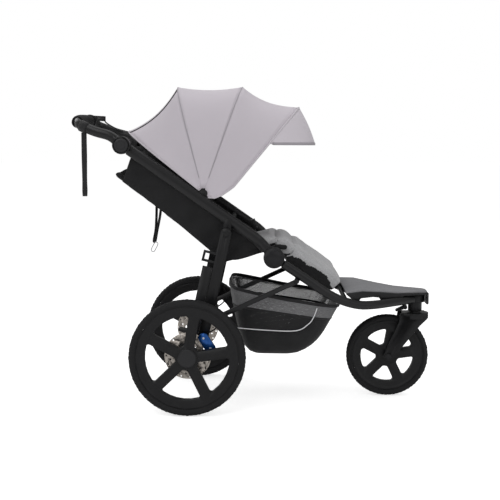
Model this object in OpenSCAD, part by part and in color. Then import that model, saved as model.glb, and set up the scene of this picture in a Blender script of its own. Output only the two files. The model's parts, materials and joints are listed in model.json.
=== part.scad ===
// Three-wheel stroller with a folding frame, a sprung rear axle, disc brakes and a swivel front
// wheel. Millimetres. X points forwards, Z up, Y = 0 is the middle plane, Z = 0 is the ground.
// The sub-parts are drawn from the rear axle's plane and moved by from_axle() to the frame's
// origin, which is under the middle of the whole stroller.

/* [Overall] */
// Distance from the rear axle to the front axle
wheelbase = 712; // [640:1:860]
// Distance between the middle planes of the two rear wheels
track = 600; // [560:1:720]
// Height of the handlebar hinges above the ground
handle_z = 916; // [880:1:1100]
// Distance from the rear axle back to the handlebar hinges
handle_back = 220; // [180:1:280]
// How far the handlebar's grip reaches behind the rear axle
rear_reach = 402; // [380:1:440]

/* [Wheels] */
// Outer diameter of the rear tyres
rear_wheel_d = 400; // [340:1:480]
// Outer diameter of the front tyre
front_wheel_d = 300; // [260:1:330]
// Width of every tyre
tyre_w = 46; // [38:1:52]
// Height of a rear tyre's section, from the rim to the tread
rear_tyre_h = 24; // [18:1:30]
// Height of the front tyre's section
front_tyre_h = 21; // [16:1:26]
// Depth of a rim between the tyre and the openings
rim_depth = 33; // [24:1:40]
// Width of a spoke
spoke_w = 36; // [26:1:44]
// Number of spokes in each wheel
spokes = 5; // [4:1:7]
// Radius of a wheel's hub
hub_r = 35; // [28:1:42]
// Thickness of the spoked web
web_t = 26; // [16:1:34]
// Radius of the axle pins
axle_r = 6; // [5:0.5:8]

/* [Brakes] */
// Radius of the rear brake discs
disc_r = 80; // [60:1:90]
// Thickness of a brake disc
disc_t = 2; // [1.5:0.5:3]
// Number of holes in each row round a brake disc
disc_holes = 15; // [9:1:24]

/* [Frame tubes] */
// Height of the oval push tubes
tube_h = 38; // [30:1:44]
// Width of the oval push tubes
tube_w = 25; // [18:1:28]
// Height of the oval front tubes
front_tube_h = 31; // [24:1:36]
// Gap between a rear wheel's tyre and the rear leg beside it
wheel_gap = 15; // [12:1:30]
// Thickness of the rear legs across the stroller
leg_t = 18; // [14:1:22]
// Width of the rear legs, fore and aft
leg_w = 36; // [26:1:40]
// Lean of the rear legs from the vertical, in degrees
leg_lean = 12.5; // [8:0.5:16]
// Width of the folding struts
strut_w = 14; // [10:1:18]
// Travel of the rear suspension along the legs
suspension_travel = 20; // [10:1:26]

/* [Fold] */
// Distance of the fold hubs ahead of the rear axle
fold_x = 294; // [270:1:330]
// Height of the fold hubs
fold_z = 534; // [500:1:560]
// Radius of the outer fold hubs
fold_hub_r = 36; // [30:1:42]
// Radius of the handlebar hubs
handle_hub_r = 30; // [24:1:36]
// Radius of the hinge pins
pin_r = 6; // [4:0.5:7]

/* [Seat] */
// Half of the seat's width
seat_half = 190; // [155:1:200]
// Thickness of the seat cushion
cushion_t = 30; // [20:1:40]
// Length of the backrest from its hinge bar to its top edge
backrest_l = 448; // [370:1:470]
// Angle of the fully reclined backrest above the rearward horizontal
backrest_lean = 38; // [36:1:44]

/* [Canopy] */
// Radius of the front canopy bow
front_bow_r = 441; // [400:1:470]
// Radius of the middle canopy bow
mid_bow_r = 388; // [360:1:400]
// Radius of the rear canopy bow
rear_bow_r = 376; // [340:1:384]
// Thickness of the canopy's cloth with its lining
cloth_t = 3; // [2:0.5:4]

/* [Basket] */
// Half of the basket's width
basket_half = 205; // [160:1:208]
// Thickness of the basket's wall
basket_wall = 4; // [3:0.5:6]

/* [Hidden] */
$fn = 48;

// Running clearance on a pin's radius, and the side gap between parts that turn past each other
running = 0.05;
side_gap = 0.8;

// Stations across the stroller, from the wheels inwards
rear_wheel_y = track / 2;
tyre_inner_y = rear_wheel_y - tyre_w / 2;
leg_outer_y = tyre_inner_y - wheel_gap;
leg_inner_y = leg_outer_y - leg_t;
tube_outer_y = leg_inner_y - 2.5;
tube_y = tube_outer_y - tube_w / 2;
tube_inner_y = tube_outer_y - tube_w;
disc_y = leg_outer_y + 6;
strut_outer_y = leg_inner_y - 3;
strut_inner_y = strut_outer_y - strut_w;

// Rear and front axles
rear_axle_z = rear_wheel_d / 2;
front_axle_z = front_wheel_d / 2;

// Steering axis, its trail behind it, and the levels of the fork's crown
trail = 100;
steer_x = wheelbase + trail;
stem_r = 8;
crown_top = front_axle_z + 158;
crown_under = front_axle_z + 134;
tube_level = crown_top + 52;
head_top = tube_level + 16;

// Where the frame's origin lies ahead of the rear axle: the middle of the overall length
origin_x = (wheelbase + front_wheel_d / 2 - rear_reach) / 2;

// The hinge points of the folding frame
fold_point = [fold_x, fold_z];
handle_point = [-handle_back, handle_z];
leg_point = [fold_x - 163, fold_z + 84];
strut_point = [fold_x + 78, fold_z - 82];
function leg_axis(z) = [leg_point[0] - (leg_point[1] - z) * tan(leg_lean), z];
function spring_axis(z) = [(z - rear_axle_z) * tan(leg_lean), z];
strut_foot = leg_axis(rear_axle_z + 110);
recline_point = [fold_x - 190, fold_z + 18];

// The canopy's pivot sits on top of the push tube
push_knee = [fold_x - 59, fold_z + 63];
push_dir = unit(handle_point - push_knee);
function on_push(s) = push_knee + push_dir * s;
canopy_seat = on_push(239);
canopy_point = canopy_seat + [-push_dir[1], push_dir[0]] * -23;
rear_bow_a = 104.7;
mid_bow_a = 70.3;
front_bow_a = 41.5;
canopy_back_a = 141.5;
canopy_back_r = 340;
cloth_half = tube_y;
pivot_pin_r = 4;

function unit(v) = v / norm(v);
function xz(p, y) = [p[0], y, p[1]];
function turn(v, a) = [v[0] * cos(a) - v[1] * sin(a), v[0] * sin(a) + v[1] * cos(a)];
function mix(a, b, t) = a * (1 - t) + b * t;

// A smooth curve through a few points, with n steps between each pair
function through(a, b, c, d, t) =
    0.5 * (2 * b + (c - a) * t + (2 * a - 5 * b + 4 * c - d) * t * t
           + (3 * b - a - 3 * c + d) * t * t * t);
function smooth(p, n) = [
    for (i = [0:len(p) - 2], s = [0:n - 1])
        through(p[max(i - 1, 0)], p[i], p[i + 1], p[min(i + 2, len(p) - 1)], s / n),
    p[len(p) - 1]
];

// The points along a smooth curve again, going back along its mirror image
function mirrored(p) = [for (i = [len(p) - 1:-1:0]) [p[i][0], -p[i][1], p[i][2]]];

// Triangles of a strip of quads between two rows of n points that start at a and b
function strip(a, b, n) = [
    for (k = [0:n - 2]) each [[a + k, b + k, b + k + 1], [a + k, b + k + 1, a + k + 1]]
];
// The same strip closed into a ring
function band(a, b, n) = [
    for (k = [0:n - 1]) let (m = (k + 1) % n) each [[a + k, b + k, b + m], [a + k, b + m, a + m]]
];

// An oval tube, w wide across ref and h the other way, swept along a path
module sweep(path, w, h, ref = [0, 0, 1], sides = 16) {
    n = len(path);
    points = [
        for (i = [0:n - 1])
            let (t = unit(path[min(i + 1, n - 1)] - path[max(i - 1, 0)]),
                 s = unit(cross(ref, t)), u = cross(t, s))
            for (k = [0:sides - 1])
                path[i] + s * (w / 2 * cos(360 * k / sides)) + u * (h / 2 * sin(360 * k / sides))
    ];
    polyhedron(points, concat(
        [[for (k = [0:sides - 1]) k]],
        [[for (k = [sides - 1:-1:0]) (n - 1) * sides + k]],
        [for (i = [0:n - 2]) each band(i * sides, (i + 1) * sides, sides)]));
}

// A curved sheet with thickness, from equal grids of outer and inner points
module shell(outer, inner) {
    rows = len(outer);
    cols = len(outer[0]);
    total = rows * cols;
    flip = function(faces) [for (f = faces) [f[2], f[1], f[0]]];
    polyhedron(
        concat([for (r = outer) each r], [for (r = inner) each r]),
        concat(
            [for (i = [0:rows - 2]) each strip(i * cols, (i + 1) * cols, cols)],
            flip([for (i = [0:rows - 2]) each strip(total + i * cols, total + (i + 1) * cols, cols)]),
            strip(total, 0, cols),
            flip(strip(total + (rows - 1) * cols, (rows - 1) * cols, cols)),
            [for (i = [0:rows - 2])
                let (a = i * cols, b = a + cols, c = total + a, d = total + b)
                each [[a, c, b], [b, c, d]]],
            [for (i = [0:rows - 2])
                let (a = i * cols + cols - 1, b = a + cols, c = total + a, d = total + b)
                each [[a, b, c], [b, d, c]]]));
}

// A flat plate with an outline in the XZ plane, from y0 to y1
module plate(points, y0, y1) {
    translate([0, y1, 0]) rotate([90, 0, 0]) linear_extrude(y1 - y0) polygon(points);
}

// A round bar along Y
module disc(p, r, y0, y1) {
    translate([p[0], y1, p[1]]) rotate([90, 0, 0]) cylinder(r = r, h = y1 - y0);
}

// A straight flat bar between two points with square ends
module bar(p, q, w, y0, y1) {
    side = turn(unit(q - p), 90) * w / 2;
    plate([p + side, p - side, q - side, q + side], y0, y1);
}

// The same bar with round ends
module link(p, q, w, y0, y1) {
    bar(p, q, w, y0, y1);
    disc(p, w / 2, y0, y1);
    disc(q, w / 2, y0, y1);
}

module both_sides() {
    children();
    mirror([0, 1, 0]) children();
}

module from_axle() {
    translate([-origin_x, 0, 0]) children();
}

// ---------------------------------------------------------------- front frame

// The bends where the front tubes turn inwards, and the cross tube between them
front_bend = [steer_x - 282, tube_y - 22, tube_level + 22];
front_turn = [steer_x - 220, tube_y - 52, tube_level + 2];
crossbar_seat = mix(front_bend, front_turn, 0.3);

function front_path() = smooth([
    xz(fold_point + [33, -23], tube_y),
    xz(fold_point + [124, -84], tube_y),
    xz(fold_point + [180, -122], tube_y - 4),
    front_bend,
    front_turn,
    [steer_x - 160, tube_y - 84, tube_level - 2],
    [steer_x - 95, 98, tube_level - 1],
    [steer_x - 45, 62, tube_level],
    [steer_x - 14, 38, tube_level]
], 4);

module front_tubes() {
    color("#2a2a2c") from_axle() both_sides() sweep(front_path(), 24, front_tube_h);
}

// The fixed half of each fold hub, inside the outer one
module fold_hub_plates() {
    color("#242426") from_axle() both_sides() difference() {
        union() {
            disc(fold_point, fold_hub_r - 2, tube_inner_y - 2, tube_y - side_gap / 2);
            bar(fold_point, fold_point + [66, -45], front_tube_h - 8, tube_inner_y + 1.5,
                tube_y - side_gap / 2);
        }
        disc(fold_point, pin_r + running, tube_inner_y - 4, tube_outer_y);
    }
}

// A pin through each fold hub with a head at each end
hub_cap_y = tube_y + 20;
module fold_pins() {
    color("#8d8f92") from_axle() both_sides() {
        disc(fold_point, pin_r, tube_inner_y - 5, hub_cap_y + 3);
        disc(fold_point, pin_r + 5, tube_inner_y - 5, tube_inner_y - 2.3);
        disc(fold_point, fold_hub_r - 10, hub_cap_y + 0.3, hub_cap_y + 3);
    }
}

// Casting that joins the front tubes and holds the fork's stem
head_r = 34;
module steering_head() {
    color("#222224") from_axle() difference() {
        union() {
            translate([steer_x, 0, crown_top + 6]) cylinder(r = 25, h = head_top - crown_top - 6);
            translate([steer_x - 46, -head_r, tube_level - 13]) cube([46, 2 * head_r, 26]);
            translate([steer_x, 0, tube_level - 13]) cylinder(r = head_r, h = 26);
        }
        translate([steer_x, 0, crown_top]) cylinder(r = stem_r + running, h = head_top);
    }
}

module front_crossbar() {
    color("#2a2a2c") from_axle()
        disc([crossbar_seat[0], crossbar_seat[2] - 4], 8, -crossbar_seat[1], crossbar_seat[1]);
}

// Lugs under the front tubes that carry the folding struts
module strut_lugs() {
    color("#242426") from_axle() both_sides() {
        link(strut_point, strut_point + [10, 24], 18, strut_inner_y - 6, strut_inner_y - 0.5);
        disc(strut_point, 4.95, strut_inner_y - 6, strut_outer_y + 1.5);
        disc(strut_point, 8, strut_outer_y + 0.5, strut_outer_y + 2.4);
    }
}

// ---------------------------------------------------------------- seat

seat_rear = fold_point + [-164, -18];
seat_front = fold_point + [26, 30];
seat_up = turn(unit(seat_front - seat_rear), 90);
seat_board_t = 12;

// The board also holds the rod that the leg rest turns on
rest_rod_r = 4;
leg_rest_point = seat_front + [12, 2];
module seat_base() {
    hold = fold_point + [0, 6];
    color("#1a1a1b") from_axle() {
        plate([seat_rear, seat_front, seat_front + seat_up * seat_board_t,
               seat_rear + seat_up * seat_board_t], -seat_half - 8, seat_half + 8);
        both_sides() {
            disc(hold, 20, seat_half + 8, tube_inner_y - 5.2);
            bar(hold, hold + [0, 26], 34, seat_half + 4, tube_inner_y - 6);
            link(seat_front + [-16, 4], leg_rest_point, 16, seat_half + 0.6, seat_half + 8);
        }
        disc(leg_rest_point, rest_rod_r, -seat_half - 1, seat_half + 1);
    }
}

module seat_cushion() {
    low = seat_board_t + 0.4;
    color("#a6a8ab") from_axle()
        plate([seat_rear + seat_up * low, seat_front + seat_up * low,
               seat_front + seat_up * (low + cushion_t), seat_rear + [12, 0] + seat_up * (low + cushion_t)],
              -seat_half, seat_half);
}

// The crotch strap stands out of the seat and carries the harness buckle
strap_foot = mix(seat_rear, seat_front, 0.62) + seat_up * (seat_board_t + cushion_t + 1);
module crotch_strap() {
    color("#1c1c1d") from_axle()
        plate([strap_foot + [-2, 0], strap_foot + [2, 0], strap_foot + [-8, 26],
               strap_foot + [-12, 26]], -16, 16);
}

buckle_point = strap_foot + [-14, 43];
module harness_buckle() {
    color("#232324") from_axle() difference() {
        translate(xz(buckle_point, 0)) rotate([0, -16, 0]) cube([16, 56, 34], center = true);
        translate(xz(buckle_point, 0)) rotate([0, -16, 0]) translate([4, 0, 0])
            rotate([0, 90, 0]) cylinder(r = 11.3, h = 10);
    }
}

module buckle_button() {
    color("#3a3a3c") from_axle() translate(xz(buckle_point, 0)) rotate([0, -16, 0])
        translate([6.5, 0, 0]) rotate([0, 90, 0]) cylinder(r = 10.9, h = 3.5);
}

// ---------------------------------------------------------------- footrest and leg rest

deck_back = fold_x + 250;
deck_front = steer_x + front_wheel_d / 2 - trail - 4;
deck_level = tube_level + front_tube_h / 2 + 1;
mat_t = 8;

// The shell's side comes down on the front tubes, but for a slot over each
skirt_level = deck_level - 7;
slot_level = deck_level + 7;
slot_back = steer_x - 214;
slot_front = steer_x - 146;
function deck_outline(in) = [
    [deck_back, -seat_half - 12 + in], [deck_back + 60, -seat_half + 22 + in],
    [steer_x - 130, -112 + in], [steer_x - 30, -66 + in], [deck_front - 12 - in, -46 + in],
    [deck_front - in, -26], [deck_front - in, 26],
    [deck_front - 12 - in, 46 - in], [steer_x - 30, 66 - in],
    [steer_x - 130, 112 - in], [deck_back + 60, seat_half - 22 - in],
    [deck_back, seat_half + 12 - in]
];
function deck_top() = [
    [deck_back, fold_z - 131], [deck_back + 56, fold_z - 128], [steer_x - 73, deck_level + 11],
    [deck_front + 1, deck_level + 6]
];

module footrest_shell() {
    top = deck_top();
    color("#1e1e20") from_axle() intersection() {
        translate([0, 0, deck_level - 60]) linear_extrude(160) polygon(deck_outline(0));
        plate(concat(top, [[deck_front + 1, deck_level - 36], [deck_front - 9, deck_level - 36],
              [deck_front - 9, deck_level + 1], [steer_x - head_r - 18, deck_level + 1],
              [steer_x - head_r - 24, skirt_level], [slot_front + 7, skirt_level],
              [slot_front, slot_level], [slot_back, slot_level], [slot_back - 7, skirt_level + 3],
              [deck_back + 28, skirt_level + 4], [deck_back + 18, slot_level + 3]]), -300, 300);
    }
}

module footrest_mat() {
    top = deck_top();
    raised = [for (i = [len(top) - 1:-1:0]) top[i] + [0, mat_t]];
    color("#7d7f83") from_axle() intersection() {
        translate([0, 0, deck_level - 60]) linear_extrude(160) polygon(deck_outline(6));
        plate(concat(top, raised), -300, 300);
    }
}

leg_rest_dir = [cos(-34), sin(-34)];
leg_rest_depth = 32;
module leg_rest() {
    up = turn(leg_rest_dir, 90);
    color("#a6a8ab") from_axle() difference() {
        union() {
            disc(leg_rest_point, 9, -seat_half + 10, seat_half - 10);
            plate([leg_rest_point - up * 9, leg_rest_point + leg_rest_dir * 30 - up * leg_rest_depth,
                   leg_rest_point + leg_rest_dir * 226 - up * leg_rest_depth,
                   leg_rest_point + leg_rest_dir * 240 + up * 8,
                   leg_rest_point + leg_rest_dir * 198 + up * 26,
                   leg_rest_point + leg_rest_dir * 20 + up * 30, leg_rest_point + up * 9],
                  -seat_half + 8, seat_half - 8);
        }
        disc(leg_rest_point, rest_rod_r + running, -seat_half - 10, seat_half + 10);
    }
}

// ---------------------------------------------------------------- basket

function basket_outline() = [
    fold_point + [-158, -106], fold_point + [-14, -130], fold_point + [128, -150],
    fold_point + [236, -178], fold_point + [200, -236], fold_point + [156, -306],
    fold_point + [86, -354], fold_point + [-90, -351], fold_point + [-132, -250]
];

module basket() {
    outline = basket_outline();
    mouth = [for (i = [0:3]) outline[i] + [0, 20]];
    color("#222223") from_axle() difference() {
        plate(outline, -basket_half, basket_half);
        translate([0, basket_half - basket_wall, 0]) rotate([90, 0, 0])
            linear_extrude(2 * (basket_half - basket_wall)) union() {
                offset(delta = -basket_wall) polygon(outline);
                polygon(concat([outline[0] + [7, -8], mouth[0] + [7, 0]], [mouth[1], mouth[2]],
                               [mouth[3] + [-12, 0], outline[3] + [-12, -8]]));
            }
    }
}

// ---------------------------------------------------------------- upper frame

function push_path() = smooth([
    xz(fold_point + [-26, 29], tube_y), xz(push_knee, tube_y), xz(on_push(70), tube_y),
    xz(mix(push_knee, handle_point, 0.6), tube_y), xz(handle_point - push_dir * 26, tube_y)
], 4);

module push_tubes() {
    color("#2a2a2c") from_axle() both_sides() sweep(push_path(), tube_w, tube_h);
}

// The moving half of each fold hub, with the arm that holds the push tube
module fold_hubs() {
    color("#242426") from_axle() both_sides() difference() {
        union() {
            disc(fold_point, fold_hub_r, tube_y + side_gap / 2, hub_cap_y);
            bar(fold_point, push_knee + [6, -4], tube_h - 10, tube_y + side_gap / 2, tube_outer_y - 1);
        }
        disc(fold_point, pin_r + running, tube_inner_y, hub_cap_y + 1);
    }
}

// Sockets on the upper ends of the push tubes, which the handlebar turns on
module handle_sockets() {
    color("#242426") from_axle() both_sides() difference() {
        disc(handle_point, handle_hub_r - 1, tube_inner_y, tube_outer_y + 1);
        disc(handle_point, pin_r + running, tube_inner_y - 1, tube_outer_y + 2);
    }
}

// Brackets under the push tubes with the pins that the rear legs turn on
module leg_brackets() {
    up = leg_point + [6, 36];
    color("#242426") from_axle() both_sides() {
        link(leg_point, up, 26, tube_y, tube_outer_y + 1.2);
        disc(leg_point, pin_r, tube_y, leg_outer_y + 3);
        disc(leg_point, pin_r + 5, leg_outer_y + 0.3, leg_outer_y + 3);
    }
}

// Cross tube that the backrest turns on, with a plate up to each push tube
module recline_bar() {
    color("#242426") from_axle() {
        disc(recline_point, 7, -tube_inner_y + 6, tube_inner_y - 6);
        both_sides() {
            link(recline_point, leg_point + [14, 30], 20, tube_inner_y - 12, tube_inner_y - 6);
            disc(leg_point + [14, 30], 7, tube_inner_y - 6, tube_inner_y + 4);
        }
    }
}

// The cloth sides of the seat, between the push tubes and the backrest
module side_fabric() {
    y0 = tube_inner_y - 5;
    color("#181819") from_axle() both_sides()
        plate([handle_point + [26, -34], handle_point + [22, -60], recline_point + [-196, 140],
               recline_point + [-30, 2], recline_point + [22, -36], fold_point + [-44, 17],
               fold_point + [-54, 44], on_push(60) + [-8, -24], on_push(330) + [-8, -24]],
              y0, y0 + 3);
}

module canopy_mounts() {
    color("#262628") from_axle() both_sides() {
        disc(canopy_point, 15, tube_inner_y, tube_y - 1);
        bar(canopy_point, canopy_seat, 26, tube_inner_y, tube_y - 1);
        disc(canopy_point, pivot_pin_r, tube_inner_y - 21.5, tube_inner_y + 1);
        disc(canopy_point, pivot_pin_r + 4, tube_inner_y - 21.5, tube_inner_y - 19.6);
    }
}

// ---------------------------------------------------------------- canopy

// A hoop is a rounded U from pivot to pivot. q runs from 0 at a pivot to 1 in the middle.
roundness = 0.42;
function hoop_y(half, q) = half * pow(cos(90 * pow(q, 2.2)), roundness);
function hoop_r(radius, q) = radius * pow(sin(90 * pow(q, 2.2)), roundness);
function hoop(angle, radius, half, n = 14, first = 0.035) = [
    for (i = [-n:n])
        let (q = first + (1 - first) * (1 - abs(i) / n), y = hoop_y(half, q))
        xz(canopy_point + hoop_r(radius, q) * [cos(angle), sin(angle)], i < 0 ? y : -y)
];

module canopy_bow(angle, radius, side_y) {
    first = unit([cos(angle), 0, sin(angle)]);
    eye_y = side_y - 2.4;
    difference() {
        union() {
            sweep(hoop(angle, radius - 12, side_y, first = 0.02), 4.8, 12,
                  ref = cross([0, 1, 0], first), sides = 8);
            both_sides() disc(canopy_point, 13, eye_y, eye_y + 4.8);
        }
        both_sides() disc(canopy_point, pivot_pin_r + running, eye_y - 3, eye_y + 8);
    }
}

module canopy_rear_bow() {
    color("#303032") from_axle() canopy_bow(rear_bow_a, rear_bow_r, tube_inner_y - 16.5);
}

module canopy_mid_bow() {
    color("#303032") from_axle() canopy_bow(mid_bow_a, mid_bow_r, tube_inner_y - 10.2);
}

module canopy_front_bow() {
    color("#303032") from_axle() canopy_bow(front_bow_a, front_bow_r, tube_inner_y - 3.9);
}

// A panel of cloth between two hoops, sagging towards the pivot between them
module canopy_panel(a0, r0, a1, r1, sag, steps = 5, first = 0.035) {
    rows = [
        for (s = [0:steps])
            let (t = s / steps, h0 = hoop(a0, r0, cloth_half, first = first),
                 h1 = hoop(a1, r1, cloth_half, first = first), drop = 1 - sag * 4 * t * (1 - t))
            [for (k = [0:len(h0) - 1])
                let (p = mix(h0[k], h1[k], t))
                [canopy_point[0] + (p[0] - canopy_point[0]) * drop, p[1],
                 canopy_point[1] + (p[2] - canopy_point[1]) * drop]]
    ];
    inner = [
        for (row = rows)
            [for (p = row)
                let (d = [p[0] - canopy_point[0], p[2] - canopy_point[1]], r = norm(d),
                     k = 1 - cloth_t / max(r, 150))
                [canopy_point[0] + d[0] * k, p[1] * (1 - cloth_t / cloth_half),
                 canopy_point[1] + d[1] * k]]
    ];
    shell(rows, inner);
}

seam_gap = 0.25;
module canopy_rear_panel() {
    color("#b4b0b5") from_axle()
        canopy_panel(rear_bow_a + seam_gap, rear_bow_r, canopy_back_a, canopy_back_r, 0.035);
}

module canopy_mid_panel() {
    color("#b4b0b5") from_axle()
        canopy_panel(mid_bow_a + seam_gap, mid_bow_r, rear_bow_a - seam_gap, rear_bow_r, 0.018);
}

module canopy_front_panel() {
    color("#b4b0b5") from_axle()
        canopy_panel(front_bow_a + seam_gap, front_bow_r, mid_bow_a - seam_gap, mid_bow_r, 0.03);
}

// The sun visor is hinged along the top of the front bow
visor_a = 23.3;
visor_r = 415;
module sun_visor() {
    color("#bfbbc0") from_axle()
        canopy_panel(visor_a, visor_r, front_bow_a - 0.6, front_bow_r + 1, 0.0, first = 0.5);
}

// ---------------------------------------------------------------- handlebar

bar_d = 34;
grip_d = 40;
grip_x = -rear_reach + grip_d / 2;
button_r = handle_hub_r - 6;
arm_w = 24;
arm_y = tube_outer_y + 1 + side_gap + arm_w / 2;
function handle_path() = smooth([
    xz(handle_point + [-10, 10], arm_y), xz(handle_point + [-40, 32], arm_y),
    xz(handle_point + [-88, 46], arm_y - 2), [grip_x + 24, arm_y - 20, handle_z + 66],
    [grip_x + 4, arm_y - 64, handle_z + 78], [grip_x, 120, handle_z + 85], [grip_x, 0, handle_z + 88]
], 4);
function whole_handle() =
    concat(handle_path(), [for (i = [1:len(handle_path()) - 1]) mirrored(handle_path())[i]]);

module handlebar() {
    path = whole_handle();
    color("#29292b") from_axle() difference() {
        union() {
            sweep(path, arm_w, bar_d, sides = 16);
            both_sides() disc(handle_point, handle_hub_r, arm_y - arm_w / 2, arm_y + arm_w / 2);
        }
        both_sides() {
            disc(handle_point, pin_r + running, tube_outer_y, arm_y + 13);
            disc(handle_point, button_r + 0.4, arm_y + 6, arm_y + 13);
        }
    }
}

// Foam grip over the cross part of the handlebar
module handle_grip() {
    path = whole_handle();
    mid = floor(len(path) / 2);
    grip = [for (i = [mid - 8:mid + 8]) path[i]];
    color("#1b1b1c") from_axle() difference() {
        sweep(grip, grip_d, grip_d, sides = 20);
        sweep([for (i = [mid - 9:mid + 9]) path[i]], arm_w + 0.4, bar_d + 0.4, sides = 16);
    }
}

module handle_button() {
    disc(handle_point, button_r, arm_y + 10.5, arm_y + 15);
    disc(handle_point, pin_r, arm_y + 2, arm_y + 10.5);
}

module handle_button_left() {
    color("#404042") from_axle() handle_button();
}

module handle_button_right() {
    color("#404042") from_axle() mirror([0, 1, 0]) handle_button();
}

// The hand brake: a clamp round the grip's end, and a lever in front of the bar
lever_y = 92;
lever_pivot = [grip_x + 48, handle_z + 96];
module brake_lever_clamp() {
    color("#222223") from_axle() difference() {
        union() {
            disc([grip_x, handle_z + 87], grip_d / 2 + 4, lever_y - 11, lever_y + 11);
            plate([[grip_x, handle_z + 90], lever_pivot + [8, -10], lever_pivot + [8, 9],
                   [grip_x, handle_z + 108]], lever_y - 11, lever_y + 11);
        }
        disc([grip_x, handle_z + 86.5], grip_d / 2 - 0.4, lever_y - 12, lever_y + 12);
        translate([lever_pivot[0] - 12, lever_y - 12, lever_pivot[1] - 5.5]) cube([40, 19, 11]);
    }
}

module brake_lever() {
    color("#1c1c1d") from_axle() {
        translate([lever_pivot[0], lever_y, lever_pivot[1] - 5]) cylinder(r = 5.5, h = 10);
        translate([lever_pivot[0] - 1, -66, lever_pivot[1] - 4]) cube([6, lever_y + 66, 8]);
    }
}

// Hose from the lever along the bar and down inside the left push tube's top end
module brake_hose() {
    color("#151515") from_axle() sweep(smooth([
        [grip_x + 42, lever_y + 8, handle_z + 97], [grip_x + 44, lever_y + 50, handle_z + 92],
        [grip_x + 46, lever_y + 92, handle_z + 82], [grip_x + 66, arm_y - 22, handle_z + 66],
        [grip_x + 100, arm_y - 18, handle_z + 50]
    ], 4), 5, 5, sides = 8);
}

// A band of webbing sewn round the bend of the right arm, which the wrist strap hangs from
collar_at = 11;
module strap_collar() {
    path = whole_handle();
    last = len(path) - 1;
    color("#161617") from_axle() difference() {
        sweep([for (i = [collar_at - 1:collar_at + 1]) mirrored(path)[last - i]], 30, bar_d + 6);
        sweep([for (i = [collar_at - 2:collar_at + 2]) mirrored(path)[last - i]],
              arm_w + 0.4, bar_d + 0.4);
    }
}

// A loop of webbing that hangs from the collar for the pusher's wrist
strap_top = whole_handle()[collar_at];
strap_points = [
    [0, -6, 0], [0, -7, -30], [0, -8, -80], [1, -10, -130], [2, -14, -165], [1, -12, -196],
    [0, 0, -214], [-1, 12, -196], [-2, 14, -165], [-1, 10, -130], [0, 8, -80], [0, 7, -30], [0, 6, 0]
];
module wrist_strap() {
    top = [strap_top[0], -strap_top[1], strap_top[2] - bar_d / 2 - 2];
    color("#161617") from_axle()
        sweep([for (p = smooth(strap_points, 3)) top + p], 3, 16, ref = [1, 0, 0], sides = 8);
}

// ---------------------------------------------------------------- backrest

back_dir = [-cos(backrest_lean), sin(backrest_lean)];
back_up = turn(back_dir, -90);
board_t = 12;

module backrest_board() {
    root = recline_point + back_dir * 14;
    color("#161617") from_axle() difference() {
        union() {
            disc(recline_point, 12, -seat_half + 4, seat_half - 4);
            plate([root - back_up * 12, root, recline_point + back_dir * backrest_l - back_up * 0,
                   recline_point + back_dir * backrest_l - back_up * board_t], -seat_half, seat_half);
        }
        disc(recline_point, 7 + running, -seat_half - 1, seat_half + 1);
    }
}

module backrest_cushion() {
    root = recline_point + back_dir * 22 + back_up * 0.4;
    color("#1b1b1c") from_axle()
        plate([root, root + back_up * cushion_t + back_dir * 10,
               recline_point + back_dir * (backrest_l - 14) + back_up * (cushion_t + 2),
               recline_point + back_dir * backrest_l + back_up * 0.4], -seat_half + 4, seat_half - 4);
}

// Padded shoulder straps lying on the backrest cushion
module shoulder_straps() {
    lie = back_up * (cushion_t + 3);
    color("#202021") from_axle() both_sides()
        plate([recline_point + back_dir * 120 + lie, recline_point + back_dir * 330 + lie,
               recline_point + back_dir * 330 + lie + back_up * 7,
               recline_point + back_dir * 120 + lie + back_up * 7], 42, 76);
}

// Strap under the backrest that sets the recline, with a ring to pull
recline_strap_top = recline_point + back_dir * 262 - back_up * (board_t + 0.5);
strap_drop = 128;
module recline_strap() {
    color("#1a1a1b") from_axle() sweep(smooth([
        xz(recline_strap_top, -120), xz(recline_strap_top + [-4, -32], -120),
        xz(recline_strap_top + [-9, -80], -120), xz(recline_strap_top + [-14, -strap_drop], -120)
    ], 4), 3, 14, ref = [1, 0, 0], sides = 8);
}

module recline_ring() {
    color("#b9babd") from_axle() translate(xz(recline_strap_top + [-16, -strap_drop - 17], -120))
        rotate([90, 0, 0]) rotate_extrude() translate([15, 0]) circle(r = 2, $fn = 24);
}

// ---------------------------------------------------------------- rear legs and axle

// Open hook behind each leg, which catches the strap that keeps the stroller folded
module leg_hook() {
    at = leg_axis(leg_point[1] - 88);
    y0 = leg_inner_y + 4;
    difference() {
        bar(at + [-8, 2], at + [-60, 15], 38, y0, y0 + 10);
        bar(at + [-14, 3.5], at + [-52, 13], 22, y0 - 1, y0 + 11);
    }
}

rod_r = 8;
housing_top = rear_axle_z + 305;
housing_low = rear_axle_z + 64;
leg_end = leg_axis(rear_axle_z + 44);

// Leg bars with the spring housings behind them
module rear_legs() {
    color("#262628") from_axle() both_sides() difference() {
        union() {
            bar(leg_point, leg_end, leg_w, leg_inner_y, leg_outer_y);
            disc(leg_point, leg_w / 2, leg_inner_y, leg_outer_y);
            leg_hook();
            bar(spring_axis(housing_top), spring_axis(housing_low), leg_w - 3, leg_inner_y, leg_outer_y);
        }
        disc(leg_point, pin_r + running, leg_inner_y - 1, leg_outer_y + 1);
        translate(xz(spring_axis(housing_low - 4), (leg_inner_y + leg_outer_y) / 2))
            rotate([0, leg_lean, 0]) cylinder(r = rod_r + 0.3, h = 150);
    }
}

module folding_struts() {
    color("#2a2a2c") from_axle() both_sides() difference() {
        link(strut_point, strut_foot, strut_w + 2, strut_inner_y, strut_outer_y);
        disc(strut_point, 5, strut_inner_y - 1, strut_outer_y + 1);
    }
}

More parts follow.
